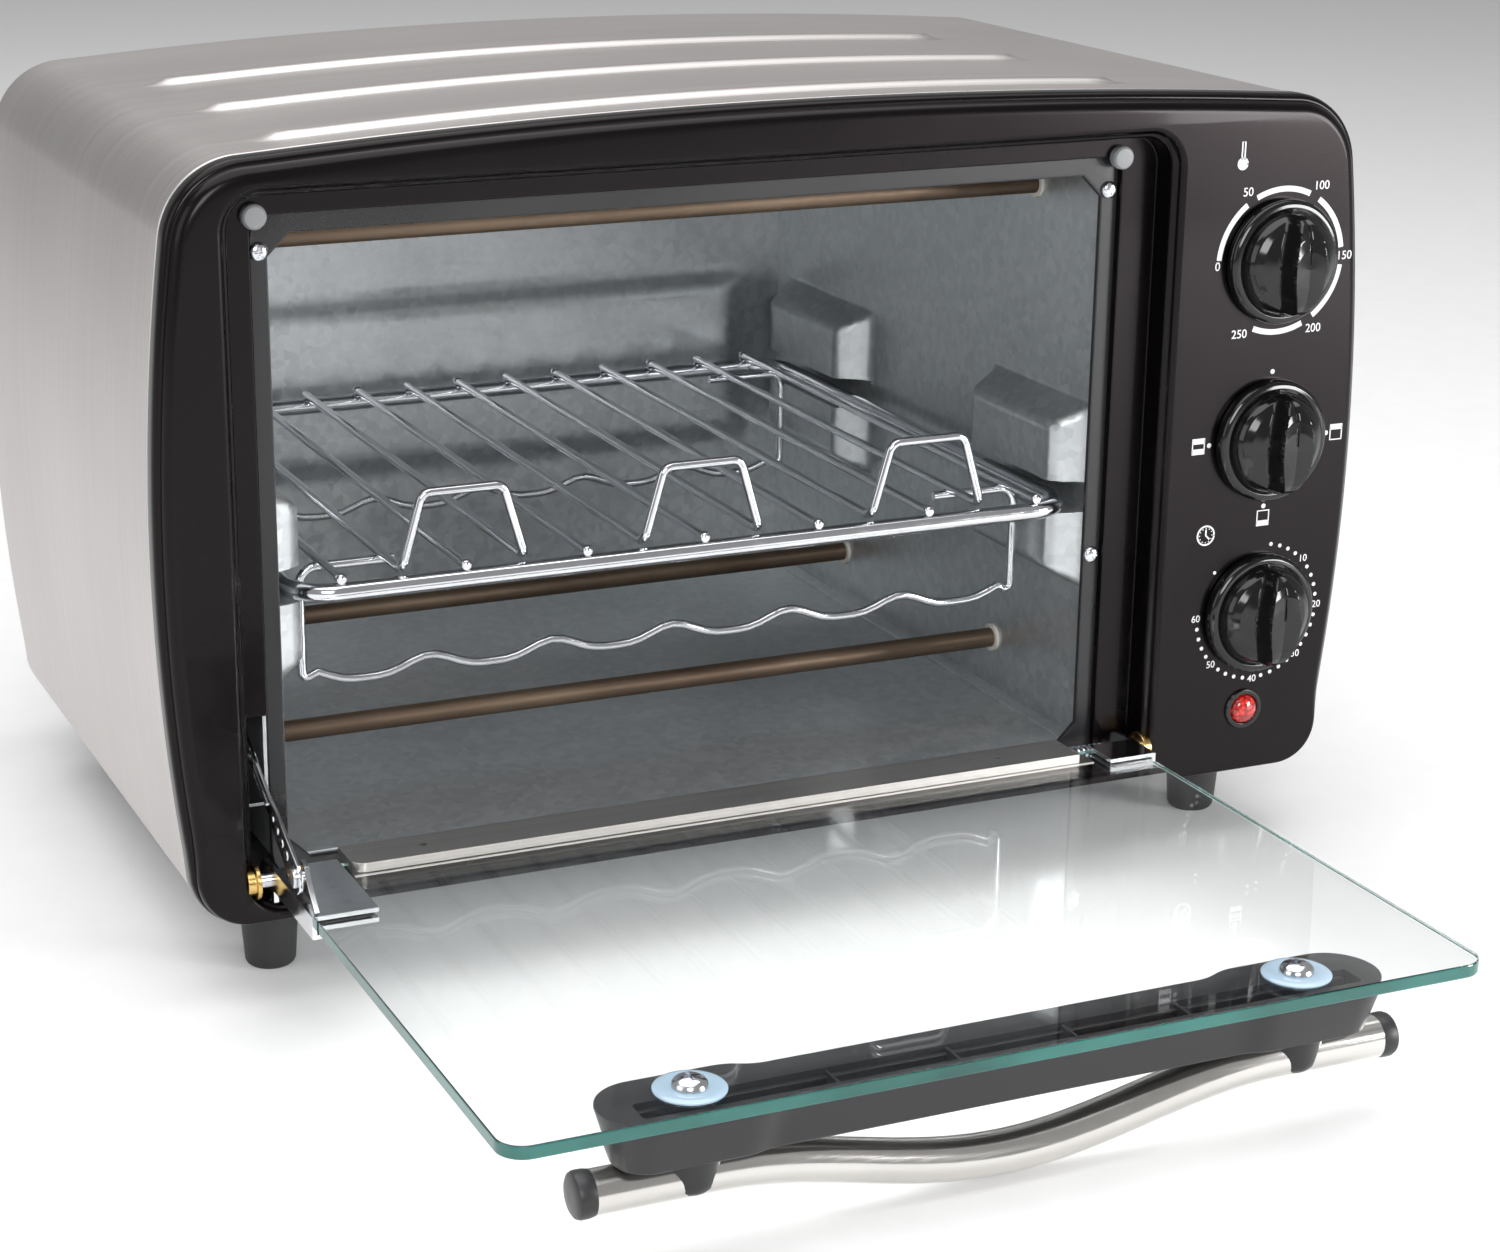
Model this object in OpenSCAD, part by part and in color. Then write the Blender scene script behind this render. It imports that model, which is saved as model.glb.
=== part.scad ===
// Countertop toaster oven: drop-down glass door, wire rack, four tube heaters, three knobs.
// Millimetres. X to the right, Y to the back, Z up, the table at Z = 0.

/* [Body] */
// Widest width of the front bezel
body_w = 420; // [400:1:440]
// Height of the top of the cover above the table
body_top = 268; // [255:1:280]
// Height of the underside of the bezel above the table
body_bottom = 26; // [22:1:30]
// Depth of the cover from the bezel face to its rear edge
cover_depth = 240; // [220:1:260]
// How far the rear panel's bulge stands behind the cover
rear_bulge = 46; // [40:1:60]
// Radius that the bowed sides follow
side_arc = 700; // [500:10:1200]
// Rise of the raised bars pressed into the top
rib_rise = 2; // [1:0.5:3]

/* [Oven space] */
// X of the middle of the oven space and door
oven_x = -29; // [-32:1:-24]
// Inside width of the oven space
oven_w = 288; // [286:1:292]
// Z of the oven floor
oven_floor = 41; // [40:1:44]
// Z of the oven roof
oven_roof = 240; // [236:1:244]
// Y of the oven's back wall behind the bezel face
oven_back = 266; // [260:1:270]
// Diameter of the heater tubes
heater_d = 7; // [6:0.5:8]

/* [Door] */
// Width of the door glass
glass_w = 300; // [296:1:300]
// Thickness of the door glass
glass_t = 4; // [3:0.5:4]
// Distance from the hinge axis to the free edge of the glass
door_reach = 205; // [200:1:206]
// Diameter of the handle tube
tube_d = 12.6; // [11:0.2:13]
// Overall length of the handle
handle_w = 254; // [240:1:270]
// How far the middle of the handle bows away from the glass
handle_bow = 12.5; // [8:0.5:12.5]

/* [Rack] */
// Outside width of the rack
rack_w = 276; // [272:1:276]
// Outside depth of the rack
rack_d = 240; // [220:1:244]
// Diameter of the rack's outer frame wire
rail_d = 6; // [5:0.5:6]
// Diameter of the rack's thin wires
wire_d = 3; // [2.5:0.1:3]
// Spacing of the rack's cross wires
wire_pitch = 20.2; // [18:0.1:20.6]
// Height of the loops at the front of the rack
loop_h = 24; // [16:1:30]
// Drop of the hoops under the rack
hoop_drop = 36; // [30:1:36]

/* [Controls] */
// Diameter of the knob skirts
knob_d = 42; // [38:1:44]
// Height of a knob above the panel
knob_h = 19; // [16:1:22]
// Spacing of the knobs
knob_pitch = 61; // [58:1:62]

/* [Hidden] */
$fn = 48;
sheet = 1;
fit = 0.05;
gap = 0.3;
front_y = -(cover_depth + rear_bulge - door_reach + 3) / 2;
mid_z = (body_top + body_bottom) / 2 - 7;
arc_steps = 12;
bezel_t = 12;
recess_l = oven_x - 155.5;
recess_r = oven_x + 160;
recess_b = body_bottom + 5;
recess_t = 250;
recess_y = 12;
mouth_w = 281;
mouth_t = 237;
hinge_y = 3;
hinge_z = 40;
glass_z = hinge_z + 3.3;
glass_back = -5;
glass_front = hinge_y - door_reach;
knob_x = 173;
knob_z = [for (i = [1, 0, -1]) 146 + i * knob_pitch];
lamp_x = 170;
lamp_z = 50;
foot_x = 172;
foot_y = [32, 214];
wall_l = oven_x - oven_w / 2;
wall_r = oven_x + oven_w / 2;
heaters = [[62, 227], [200, 227], [80, 59], [200, 59]];
guide_y = [[25, 78], [188, 245]];
guide_top = 122.2;
guide_h = 28;
guide_out = oven_w / 2 - 131;
rail_z = guide_top + gap + rail_d / 2;
rack_y = 12;
pan_z = body_bottom + 1.8;
wire_z = rail_z + rail_d / 2 + wire_d / 2 - 0.3;
post_x = 93.5;
handle_y = -188;
tube_z = 21;
stay_x = oven_x - 151;
stay_y = -31;
stay_z = 54;
stay_lift = 27;

// Half outline of the body seen from the front, inset by i, on the right-hand side
function side_x(z) = body_w / 2 - (z - mid_z) * (z - mid_z) / (2 * side_arc);
top_r = 26;
shoulder = 29;
bot_r = 18;
lean = asin((body_top - shoulder - mid_z) / side_arc);
low_z = body_bottom + bot_r;
low_lean = asin((mid_z - low_z) / side_arc);
top_c = [side_x(body_top - shoulder) - top_r * cos(lean),
    body_top - shoulder - top_r * sin(lean)];
bot_c = [side_x(low_z) - bot_r * cos(low_lean), body_bottom + bot_r];
crown = body_top - top_c[1] - top_r;
function half_outline(i) = concat(
    [for (k = [0:arc_steps]) let (a = -90 + k * (90 - low_lean) / arc_steps)
        bot_c + (bot_r - i) * [cos(a), sin(a)]],
    [for (k = [1:arc_steps]) let (z = low_z + k * (body_top - shoulder - low_z) / arc_steps)
        [side_x(z) - i, z]],
    [for (k = [1:arc_steps]) let (a = lean + k * (88 - lean) / arc_steps)
        top_c + (top_r - i) * [cos(a), sin(a)]],
    [for (k = [1:arc_steps - 1]) let (x = top_c[0] * (1 - k / arc_steps))
        [x, top_z(x) - i]]);
function top_z(x) = body_top - crown * pow(x / top_c[0], 2);
function outline(i) = let (h = half_outline(i), n = len(h))
    concat(h, [for (k = [n - 1:-1:0]) [-h[k][0], h[k][1]]]);

module at_front() translate([0, front_y, 0]) children();
module slab(y0, y1) translate([0, y1, 0]) rotate([90, 0, 0]) linear_extrude(y1 - y0) children();
module block(lo, hi) translate(lo) cube(hi - lo);
module rod(x0, x1, y, z, r) translate([x0, y, z]) rotate([0, 90, 0]) cylinder(h = x1 - x0, r = r);
module peg(y0, y1, x, z, r) translate([x, y1, z]) rotate([90, 0, 0]) cylinder(h = y1 - y0, r = r);
module post(z0, z1, x, y, r) translate([x, y, z0]) cylinder(h = z1 - z0, r = r);
module rounded(lo, hi, r) hull() for (x = [lo[0] + r, hi[0] - r], z = [lo[1] + r, hi[1] - r])
    translate([x, z]) circle(r, $fn = 32);
module body_face(i) polygon(outline(i));
module recess_face(grow) rounded([recess_l - grow, recess_b - grow],
    [recess_r + grow, recess_t + grow], 10 + grow);
module mouth_face(grow) rounded([oven_x - mouth_w / 2 - grow, oven_floor - grow],
    [oven_x + mouth_w / 2 + grow, mouth_t + grow], 4);
module at_knobs() for (z = knob_z) translate([knob_x, 0, z]) children();

module wrap_cover() color("silver") at_front() difference() {
    union() {
        slab(bezel_t, cover_depth) body_face(0.6);
        for (y = [33, 96, 158]) slab(y - 7, y + 7) top_rib();
    }
    slab(bezel_t - 1, cover_depth + 1) body_face(0.6 + sheet);
    block([-182, 0, 0], [182, cover_depth + 1, body_bottom + 8]);
}
module top_rib() polygon(concat(
    [for (k = [0:20]) let (x = -168 + k * 296 / 20) [x, top_z(x) - 1]],
    [for (k = [20:-1:0]) let (x = -168 + k * 296 / 20)
        [x, top_z(x) - 0.6 + rib_rise * min(1, min(k, 20 - k) / 1.5)]]));

module front_bezel() color("#2a2226") at_front() difference() {
    union() {
        slab(0, 3) body_face(2.2);
        slab(1.2, 3) body_face(0.8);
        difference() {
            slab(3, bezel_t) body_face(0);
            slab(2, bezel_t + 1) body_face(3);
        }
        intersection() {
            slab(0, recess_y + 2.5) recess_face(2.5);
            slab(-1, recess_y + 3) body_face(1.8);
        }
    }
    slab(-1, recess_y) recess_face(0);
    slab(-1, recess_y + 3) mouth_face(6);
    slab(-1, 4) at_knob_holes();
    peg(-1, 4, lamp_x, lamp_z, 6);
    block([recess_l + 1, recess_y - 1, recess_b], [oven_x - 145, recess_y + 3, 90]);
    for (s = [[recess_l - 4, recess_l + 1], [recess_r - 1, recess_r + 4]])
        rod(s[0], s[1], hinge_y, hinge_z, 4);
    rod(recess_l, recess_l + 4, hinge_y, hinge_z, 5.7);
    rod(recess_r - 4, recess_r, hinge_y, hinge_z, 5.7);
    for (x = [-1, 1]) peg(recess_y - 1, recess_y + 3, oven_x + x * 145.5, 243, 2.5);
}
module at_knob_holes() for (z = knob_z) translate([knob_x, z]) circle(4.5);

module mouth_frame() color("#181818") at_front() difference() {
    slab(recess_y + 2.5, recess_y + 4) rounded([oven_x - 146.2, oven_floor - 8],
        [oven_x + 154, mouth_t + 10], 12);
    slab(recess_y, recess_y + 6) mouth_face(0);
    for (p = mouth_screws) peg(recess_y, recess_y + 6, p[0], p[1], 1.6);
    for (x = [-1, 1]) peg(recess_y, recess_y + 6, oven_x + x * 145.5, 243, 2.6);
}
mouth_screws = concat([for (x = [-1, 1]) [oven_x + x * 143.4, mouth_t - 5]],
    [[oven_x + 143.4, 108]], [for (x = [-1:1]) [oven_x + x * 110, oven_floor - 3]]);

module side_guides(s) for (y = guide_y, z = [guide_top - guide_h, guide_top + 9.6])
    translate([oven_x + s * oven_w / 2, 0, z]) rotate([0, 0, 0]) linear_extrude(guide_h)
    polygon([[s * 0.5, y[0] - 8], [-s * guide_out, y[0]], [-s * guide_out, y[1]],
        [s * 0.5, y[1] + 8]]);
module wall_sheet(s) difference() {
    union() {
        block([oven_x + min(s * oven_w / 2, s * (oven_w / 2 + sheet)), recess_y + 4, oven_floor - 1],
            [oven_x + max(s * oven_w / 2, s * (oven_w / 2 + sheet)), oven_back, oven_roof + 1]);
        side_guides(s);
    }
    for (h = heaters) rod(oven_x - 160, oven_x + 160, h[0], h[1], 5.2);
    for (p = mouth_screws) peg(recess_y, recess_y + 10.5, p[0], p[1], 1.8);
}
module oven_left_wall() color("lightsteelblue") at_front() wall_sheet(-1);
module oven_right_wall() color("lightsteelblue") at_front() wall_sheet(1);
module oven_back_wall() color("lightsteelblue") at_front() {
    block([wall_l - sheet, oven_back, oven_floor - 1], [wall_r + sheet, oven_back + sheet,
        oven_roof + 1]);
    translate([wall_l + 20, oven_back + 0.5, 90]) rotate([90, 0, 90])
        linear_extrude(oven_w - 40) polygon([[0, 0], [-5, 12], [-5, 62], [0, 74]]);
}
module oven_roof_sheet() color("lightsteelblue") at_front()
    block([wall_l, recess_y + 4, oven_roof], [wall_r, oven_back, oven_roof + 1]);
module oven_floor_sheet() color("lightsteelblue") at_front() {
    block([wall_l, recess_y + 4, oven_floor - 1], [wall_r, oven_back, oven_floor]);
    block([wall_r - 7, recess_y + 6, oven_floor], [wall_r - 5, oven_back - 4, oven_floor + 0.6]);
}

module base_pan() color("gray") at_front() difference() {
    union() {
        block([-183, recess_y + 3, pan_z], [183, cover_depth - 2, pan_z + 1]);
        for (x = [-183, 182])
            block([x, recess_y + 3, pan_z], [x + 1, cover_depth - 2, pan_z + 9]);
    }
    for (x = [136:8:168], y = [70, 130]) block([x, y, pan_z - 1], [x + 3, y + 40, pan_z + 2]);
    for (x = [-1, 1], y = foot_y) post(10, 40, x * foot_x, y, 2.2);
}

module rear_panel() color("dimgray") at_front() difference() {
    union() {
        slab(cover_depth - 2, cover_depth - 1) body_face(1.8);
        slab(cover_depth - 1, cover_depth + rear_bulge - 1)
            rounded([wall_l - 12, 36], [wall_r + 12, oven_roof + 10], 20);
        slab(cover_depth + rear_bulge - 2, cover_depth + rear_bulge)
            rounded([wall_l - 6, 42], [wall_r + 6, oven_roof + 4], 14);
    }
    slab(cover_depth - 3, cover_depth + rear_bulge - 2)
        rounded([wall_l - 11, 37], [wall_r + 11, oven_roof + 9], 19);
    peg(cover_depth - 5, cover_depth + 5, 165, 52, 6.5);
    for (i = [0:7]) block([142 + i * 7, cover_depth - 5, 170], [145 + i * 7, cover_depth + 5, 220]);
    for (p = rear_points) peg(cover_depth - 5, cover_depth + 5, p[0], p[1], 1.8);
}
rear_points = [[-192, 60], [-192, 200], [-120, 254], [90, 255], [190, 110], [190, 200]];

module divider_plate() color("silver") at_front() difference() {
    block([wall_r + 13, recess_y + 4, pan_z + 1], [wall_r + 14, cover_depth - 3, 252]);
    for (h = heaters) rod(wall_r + 5, wall_r + 25, h[0], h[1], 8);
}

module feet() color("#1c1c1c") at_front() for (x = [-1, 1], y = foot_y)
    translate([x * foot_x, y, 0]) rotate_extrude() polygon([[0, 0], [7.6, 0], [8.2, 0.6],
        [10, pan_z - 1.4], [9.4, pan_z], [2, pan_z],
        [2, pan_z + 6], [0, pan_z + 6]]);

module heater(i) color("#8a6f5a") at_front()
    rod(wall_l - 8, wall_r + 12, heaters[i][0], heaters[i][1], heater_d / 2);
module heater_top_front() heater(0);
module heater_top_rear() heater(1);
module heater_bottom_front() heater(2);
module heater_bottom_rear() heater(3);
module heater_insulators() color("ivory") at_front() for (h = heaters, s = [-1, 1])
    translate([oven_x + s * (oven_w / 2 + 2.5), h[0], h[1]]) rotate([0, s * 90, 0]) difference() {
        union() {
            translate([0, 0, -3.5]) cylinder(h = 9, r = 5);
            translate([0, 0, -1.2]) cylinder(h = 3, r = 7);
        }
        translate([0, 0, -5]) cylinder(h = 20, r = heater_d / 2);
    }
module heater_terminals() color("silver") at_front() for (h = heaters, s = [-1, 1])
    rod(oven_x + (s < 0 ? -oven_w / 2 - 17 : oven_w / 2 + 12),
        oven_x + (s < 0 ? -oven_w / 2 - 8 : oven_w / 2 + 21), h[0], h[1], 1.4);

module switch_body(z, w, h, deep) difference() {
    union() {
        block([knob_x - w / 2, 4.5, z - h / 2], [knob_x + w / 2, 4.5 + deep, z + h / 2]);
        peg(3, 4.5, knob_x, z, 7);
        for (x = [-1, 1]) block([knob_x + x * w / 4 - 3, 4.5 + deep, z - 5],
            [knob_x + x * w / 4 + 3, 12.5 + deep, z - 4.2]);
    }
    peg(2, deep - 3, knob_x, z, 3 + fit);
}
module thermostat() color("tan") at_front() switch_body(knob_z[0], 34, 40, 24);
module selector_switch() color("ivory") at_front() switch_body(knob_z[1], 36, 38, 32);
module timer() color("silver") at_front() switch_body(knob_z[2], 48, 50, 38);
module shaft(z, deep) peg(-13, deep - 3.5, knob_x, z, 3);
module temperature_shaft() color("silver") at_front() shaft(knob_z[0], 24);
module selector_shaft() color("silver") at_front() shaft(knob_z[1], 32);
module timer_shaft() color("silver") at_front() shaft(knob_z[2], 38);

module knob(z) translate([knob_x, -0.6, z]) rotate([90, 0, 0]) difference() {
    union() {
        rotate_extrude() polygon([[0, 0], [knob_d / 2, 0], [knob_d / 2, 2.4],
            [knob_d / 2 - 1.4, 3.8], [knob_d / 2 - 3, 4], [knob_d / 2 - 3.6, 6],
            [knob_d / 2 - 6.5, 8.6], [knob_d / 2 - 12, 10.4], [0, 11]]);
        intersection() {
            linear_extrude(knob_h - 0.6) intersection_for (s = [-1, 1])
                translate([s * 27, 0]) circle(33, $fn = 96);
            rotate_extrude() polygon([[0, 0], [17.6, 0], [17.6, 6], [16, 13], [12, 17],
                [6, knob_h - 1], [0, knob_h - 0.6]]);
        }
    }
    translate([0, 0, -1]) cylinder(h = 13.6, r = 3.02);
}
module temperature_knob() color("#151515") at_front() knob(knob_z[0]);
module selector_knob() color("#151515") at_front() knob(knob_z[1]);
module timer_knob() color("#151515") at_front() knob(knob_z[2]);

module lamp_lens() color("red") at_front() translate([lamp_x, 3, lamp_z]) rotate([90, 0, 0])
    rotate_extrude() polygon([[0, 0], [4.2, 0], [4.2, 4], [3.6, 5.4], [2, 6.4], [0, 6.8]]);
module lamp_holder() color("silver") at_front() {
    difference() {
        translate([lamp_x, 12, lamp_z]) rotate([90, 0, 0]) rotate_extrude()
            polygon([[4.3, 0], [5.9, 0], [5.9, 12], [7.2, 12], [6.8, 13], [5.4, 13], [4.3, 10]]);
    }
    peg(12, 24, lamp_x, lamp_z, 5.9);
    peg(24, 30, lamp_x - 2, lamp_z, 0.8);
    peg(24, 30, lamp_x + 2, lamp_z, 0.8);
}
module terminal_block() color("white") at_front() difference() {
    block([140, 190, pan_z + 1], [176, 210, pan_z + 19]);
    for (x = [146, 158, 170]) {
        post(pan_z + 10, pan_z + 20, x, 200, 2.2);
        peg(189, 211, x, pan_z + 8, 2.6);
    }
}

module bumpers() color("lightgray") at_front() for (s = [-1, 1])
    translate([oven_x + s * 145.5, recess_y + 4, 243]) rotate([90, 0, 0]) rotate_extrude()
        polygon([[0, 0], [2.4, 0], [2.4, 4], [3.7, 4], [3.7, 6.2], [3, 7.1], [0, 7.4]]);
module screw(p, y, r) {
    peg(y - 1.8, y, p[0], p[1], r);
    peg(y, y + 7, p[0], p[1], 1.5);
}
module frame_screws() color("gray") at_front() for (p = mouth_screws) difference() {
    screw(p, recess_y + 2.5, 2.9);
    block([p[0] - 0.4, recess_y, p[1] - 1.8], [p[0] + 0.4, recess_y + 1.6, p[1] + 1.8]);
    block([p[0] - 1.8, recess_y, p[1] - 0.4], [p[0] + 1.8, recess_y + 1.6, p[1] + 0.4]);
}
module rear_screws() color("gray") at_front() for (p = rear_points) {
    peg(cover_depth - 1, cover_depth + 1, p[0], p[1], 3.4);
    peg(cover_depth - 7, cover_depth - 1, p[0], p[1], 1.7);
}
module hinge_bushes() color("goldenrod") at_front() for (s = [-1, 1])
    translate([s < 0 ? recess_l : recess_r, hinge_y, hinge_z]) rotate([0, -s * 90, 0])
    difference() {
        union() {
            translate([0, 0, -2.5]) cylinder(h = 2.5, r = 4);
            cylinder(h = 1.4, r = 5.6);
        }
        translate([0, 0, -5]) cylinder(h = 10, r = 2.5 + fit);
    }
module stay_guide() color("silver") at_front() difference() {
    block([recess_l - 5, recess_y + 2.5, 60], [oven_x - 146.4, recess_y + 3.7, 104]);
    block([stay_x - 2.4, recess_y, 61], [oven_x - 147.6, recess_y + 6, 97]);
}

module door_glass() color([0.8, 0.95, 0.9, 0.35]) at_front() translate([oven_x, 0, glass_z - glass_t / 2])
    linear_extrude(glass_t) difference() {
        hull() {
            for (s = [-1, 1]) translate([s * (glass_w / 2 - 8), glass_front + 8]) circle(8);
            translate([-glass_w / 2, glass_back - 10]) square([glass_w, 10]);
        }
        for (s = [-1, 1]) translate([s * post_x, handle_y]) circle(3);
    }
module seal_strip() color("silver") at_front() translate([oven_x, 0, glass_z + glass_t / 2])
    linear_extrude(3) difference() {
        hull() {
            translate([-124, -10]) circle(5);
            translate([-129, 0]) square([1, 1]);
            translate([124, -15]) square([1, 16]);
        }
        for (x = [-104, 98]) translate([x, -7]) circle(1.2);
    }
module hinge_plate() color("silver") at_front() translate([oven_x, 0, glass_z - glass_t / 2 - 0.8]) {
    linear_extrude(0.8) polygon([[-128, -13], [132, -13], [132, glass_back], [-128, glass_back]]);
    translate([0, 0, 0]) block([-120, glass_back, 0], [124, glass_back + 1, glass_t + 0.8]);
}

module clip(x0, x1, y0) difference() {
    union() {
        block([x0, y0, glass_z - 3.6], [x1, 6, glass_z + 3.6]);
    }
    block([x0 - 1, y0 - 1, glass_z - 2], [x1 - 1.2, glass_back + 0.4, glass_z + 2]);
    block([x0 - 1, glass_back + 1.6, glass_z - 9], [x1 - 1.2, 20, glass_z + 9]);
}
module hinge_side(y0) {
    block([0, y0, glass_z - 3.6], [1.5, 0, glass_z + 3.6]);
    rod(0, 1.5, hinge_y, hinge_z, 6.6);
    block([0, -6, hinge_z - 4], [1.5, hinge_y, hinge_z + 6.6]);
}
module hinge_bracket_left() color("silver") at_front() {
    translate([oven_x - 150.2, 0, 0]) {
        block([-1.4, -46, glass_z - 3.6], [0, 0, glass_z + 3.6]);
        translate([-1.5, 0, 0]) hinge_side(-46);
        for (z = [glass_z - 3.6, glass_z + 2.2]) block([0, -46, z], [19, glass_back, z + 1.4]);
        difference() {
            translate([0.2, 0, 0]) rotate([90, 0, 90]) linear_extrude(1.5) polygon([
                [-44, glass_z + 3], [-12, glass_z + 3], [stay_y + 4.6, stay_z + 3],
                [stay_y + 1, stay_z + 5], [stay_y - 3, stay_z + 4], [stay_y - 5, stay_z]]);
            rod(-5, 6, stay_y, stay_z, 2);
        }
    }
}
module hinge_bracket_right() color("silver") at_front() {
    translate([oven_x + 150.2, 0, 0]) {
        hinge_side(-20);
        for (z = [glass_z - 3.6, glass_z + 2.2]) block([-16, -20, z], [0, glass_back, z + 1.4]);
    }
}
module hinge_pins() color("gainsboro") at_front() {
    rod(recess_l - 2.4, oven_x - 151.7, hinge_y, hinge_z, 2.5);
    rod(oven_x + 151.7, recess_r + 2.4, hinge_y, hinge_z, 2.5);
    rod(oven_x + 125, oven_x + 150.2, hinge_y, hinge_z, 2);
    block([oven_x + 125, glass_back + 1, hinge_z - 2], [oven_x + 126.2, hinge_y + 2, glass_z + 3]);
}
module door_spring() color("silver") at_front() for (i = [0:8])
    translate([oven_x + 128.5 + i * 2.1, hinge_y, hinge_z]) rotate([0, 90, 0])
        rotate_extrude() translate([3, 0]) circle(0.85, $fn = 24);
module glass_gaskets() color("#202020") at_front() {
    for (z = [glass_z - 2.2, glass_z + 2]) block([oven_x - 149.5, -44, z],
        [oven_x - 132, glass_back - 1, z + 0.2]);
    for (z = [glass_z - 2.2, glass_z + 2]) block([oven_x + 135, -19, z],
        [oven_x + 149.5, glass_back - 1, z + 0.2]);
}
module stay_rivet() color("silver") at_front() {
    rod(stay_x - 1.5, oven_x - 147.6, stay_y, stay_z, 1.95);
    rod(stay_x - 2.3, stay_x - 1.3, stay_y, stay_z, 3.2);
    rod(oven_x - 148.5, oven_x - 147.7, stay_y, stay_z, 3.2);
}
module link_arm() color("silver") at_front() translate([stay_x - 1.2, stay_y, stay_z])
    rotate([stay_lift, 0, 0]) rotate([90, 0, 90]) linear_extrude(1.2) difference() {
        hull_arm();
        circle(2 + fit);
    }
module hull_arm() union() {
    circle(5.2);
    polygon([[0, -5.2], [20, -4.6], [28, -2.6], [72, -2.6], [74, -1], [74, 1], [72, 2.6],
        [30, 2.6], [22, 4.2], [0, 5.2]]);
}

module handle_base() color("#171717") at_front() translate([oven_x, handle_y, 0]) difference() {
    union() {
        for (s = [-1, 1]) {
            hull() for (d = [-1, 1]) translate([s * post_x + d * 12.5, 0, glass_z - 16])
                cylinder(h = 14, r1 = 9, r2 = 13.8, $fn = 32);
            translate([s * post_x, 0, tube_z]) cylinder(h = glass_z - 15 - tube_z, r1 = 7.4, r2 = 9.6);
        }
        translate([0, 0, glass_z - 15]) rotate([90, 0, 90]) translate([0, 0, -post_x])
            linear_extrude(2 * post_x) polygon([[-9, 0], [9, 0], [12, 13], [-12, 13]]);
    }
    for (s = [-1, 1]) {
        rod(s * post_x - 30, s * post_x + 30, 0, tube_z, tube_d / 2);
        post(glass_z - 14, glass_z, s * post_x, 0, 2);
    }
}
bow_end = 88;
function bow(x) = abs(x) > bow_end ? 0 : -handle_bow * (1 + cos(180 * x / bow_end)) / 2;
module wire(points, r, n) for (i = [0:len(points) - 2]) hull()
    for (p = [points[i], points[i + 1]]) translate(p) sphere(r, $fn = n);
module handle_tube() color("silver") at_front() translate([oven_x, handle_y, tube_z]) {
    wire([for (x = [-bow_end:8:bow_end]) [x, 0, bow(x)]], tube_d / 2, 28);
    for (s = [-1, 1]) rotate([0, s * 90, 0]) translate([0, 0, bow_end])
        cylinder(h = handle_w / 2 - 4 - bow_end, r = tube_d / 2, $fn = 28);
}
module handle_caps() color("#171717") at_front() for (s = [-1, 1])
    translate([oven_x + s * (handle_w / 2 - 4), handle_y, tube_z]) rotate([0, s * 90, 0])
        rotate_extrude() polygon([[0, 0], [tube_d / 2 + 0.3, 0], [tube_d / 2 + 0.3, 2.6],
            [tube_d / 2 - 1.2, 4], [0, 4]]);
module handle_screws() color("silver") at_front() for (s = [-1, 1])
    translate([oven_x + s * post_x, handle_y, glass_z + glass_t / 2 + 1]) difference() {
        union() {
            rotate_extrude() polygon([[0, 0], [5, 0], [4.4, 1.8], [2.6, 2.8], [0, 3]]);
            translate([0, 0, -14]) cylinder(h = 14.5, r = 1.95);
        }
        block([-0.5, -2.6, 1.2], [0.5, 2.6, 4]);
        block([-2.6, -0.5, 1.2], [2.6, 0.5, 4]);
    }
module handle_washers() color("lightblue") at_front() for (s = [-1, 1])
    translate([oven_x + s * post_x, handle_y, glass_z + glass_t / 2]) difference() {
        cylinder(h = 1, r1 = 10, r2 = 9.2);
        translate([0, 0, -1]) cylinder(h = 3, r = 2.1);
    }

rail_x = rack_w / 2 - rail_d / 2;
rail_y0 = rack_y + rail_d / 2;
rail_y1 = rack_y + rack_d - rail_d / 2;
corner = 14;
module rack_frame() color("silver") at_front() translate([oven_x, 0, rail_z]) {
    for (s = [-1, 1]) {
        peg(rail_y0 + corner, rail_y1 - corner, s * rail_x, 0, rail_d / 2);
        for (e = [0, 1]) translate([s * (rail_x - corner), e ? rail_y1 - corner : rail_y0 + corner, 0])
            rotate([0, 0, s > 0 ? (e ? 0 : -90) : (e ? 90 : 180)])
                rotate_extrude(angle = 90) translate([corner, 0]) circle(rail_d / 2, $fn = 32);
    }
    for (y = [rail_y0, rail_y1]) rod(-rail_x + corner, rail_x - corner, y, 0, rail_d / 2);
}
module rack_wires() color("silver") at_front() for (i = [-6:2:6])
    translate([oven_x + i * wire_pitch, 0, wire_z]) {
        peg(rail_y0 - 1.4, rail_y1 + 1.4, 0, 0, wire_d / 2);
        translate([0, rail_y0, 1.1]) sphere(1.5);
    }
loop_in = loop_h * tan(16);
module rack_loops() color("silver") at_front() for (c = [-4, 0, 4])
    translate([oven_x + c * wire_pitch, 0, wire_z]) wire([[-wire_pitch, rail_y1 + 1, 0],
        [-wire_pitch, rail_y0 + 1.5, 0], [loop_in - wire_pitch, rail_y0 + 1.5, loop_h],
        [wire_pitch - loop_in, rail_y0 + 1.5, loop_h], [wire_pitch, rail_y0 + 1.5, 0],
        [wire_pitch, rail_y1 + 1, 0]], wire_d / 2, 20);
hoop_x = 127;
module rack_hoops() color("silver") at_front() for (y = [rack_y + 28, rack_y + rack_d - 26])
    translate([oven_x, y, wire_z - wire_d + 0.2]) wire(concat([[-96, 0, 0], [-hoop_x, 0, 0]],
        [for (x = [-hoop_x + 4:7:hoop_x - 4]) [x, 0, 2.5 * cos(x * 6 * 180 / hoop_x) - hoop_drop]],
        [[hoop_x, 0, 0], [96, 0, 0]]), wire_d / 2, 14);

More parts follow.
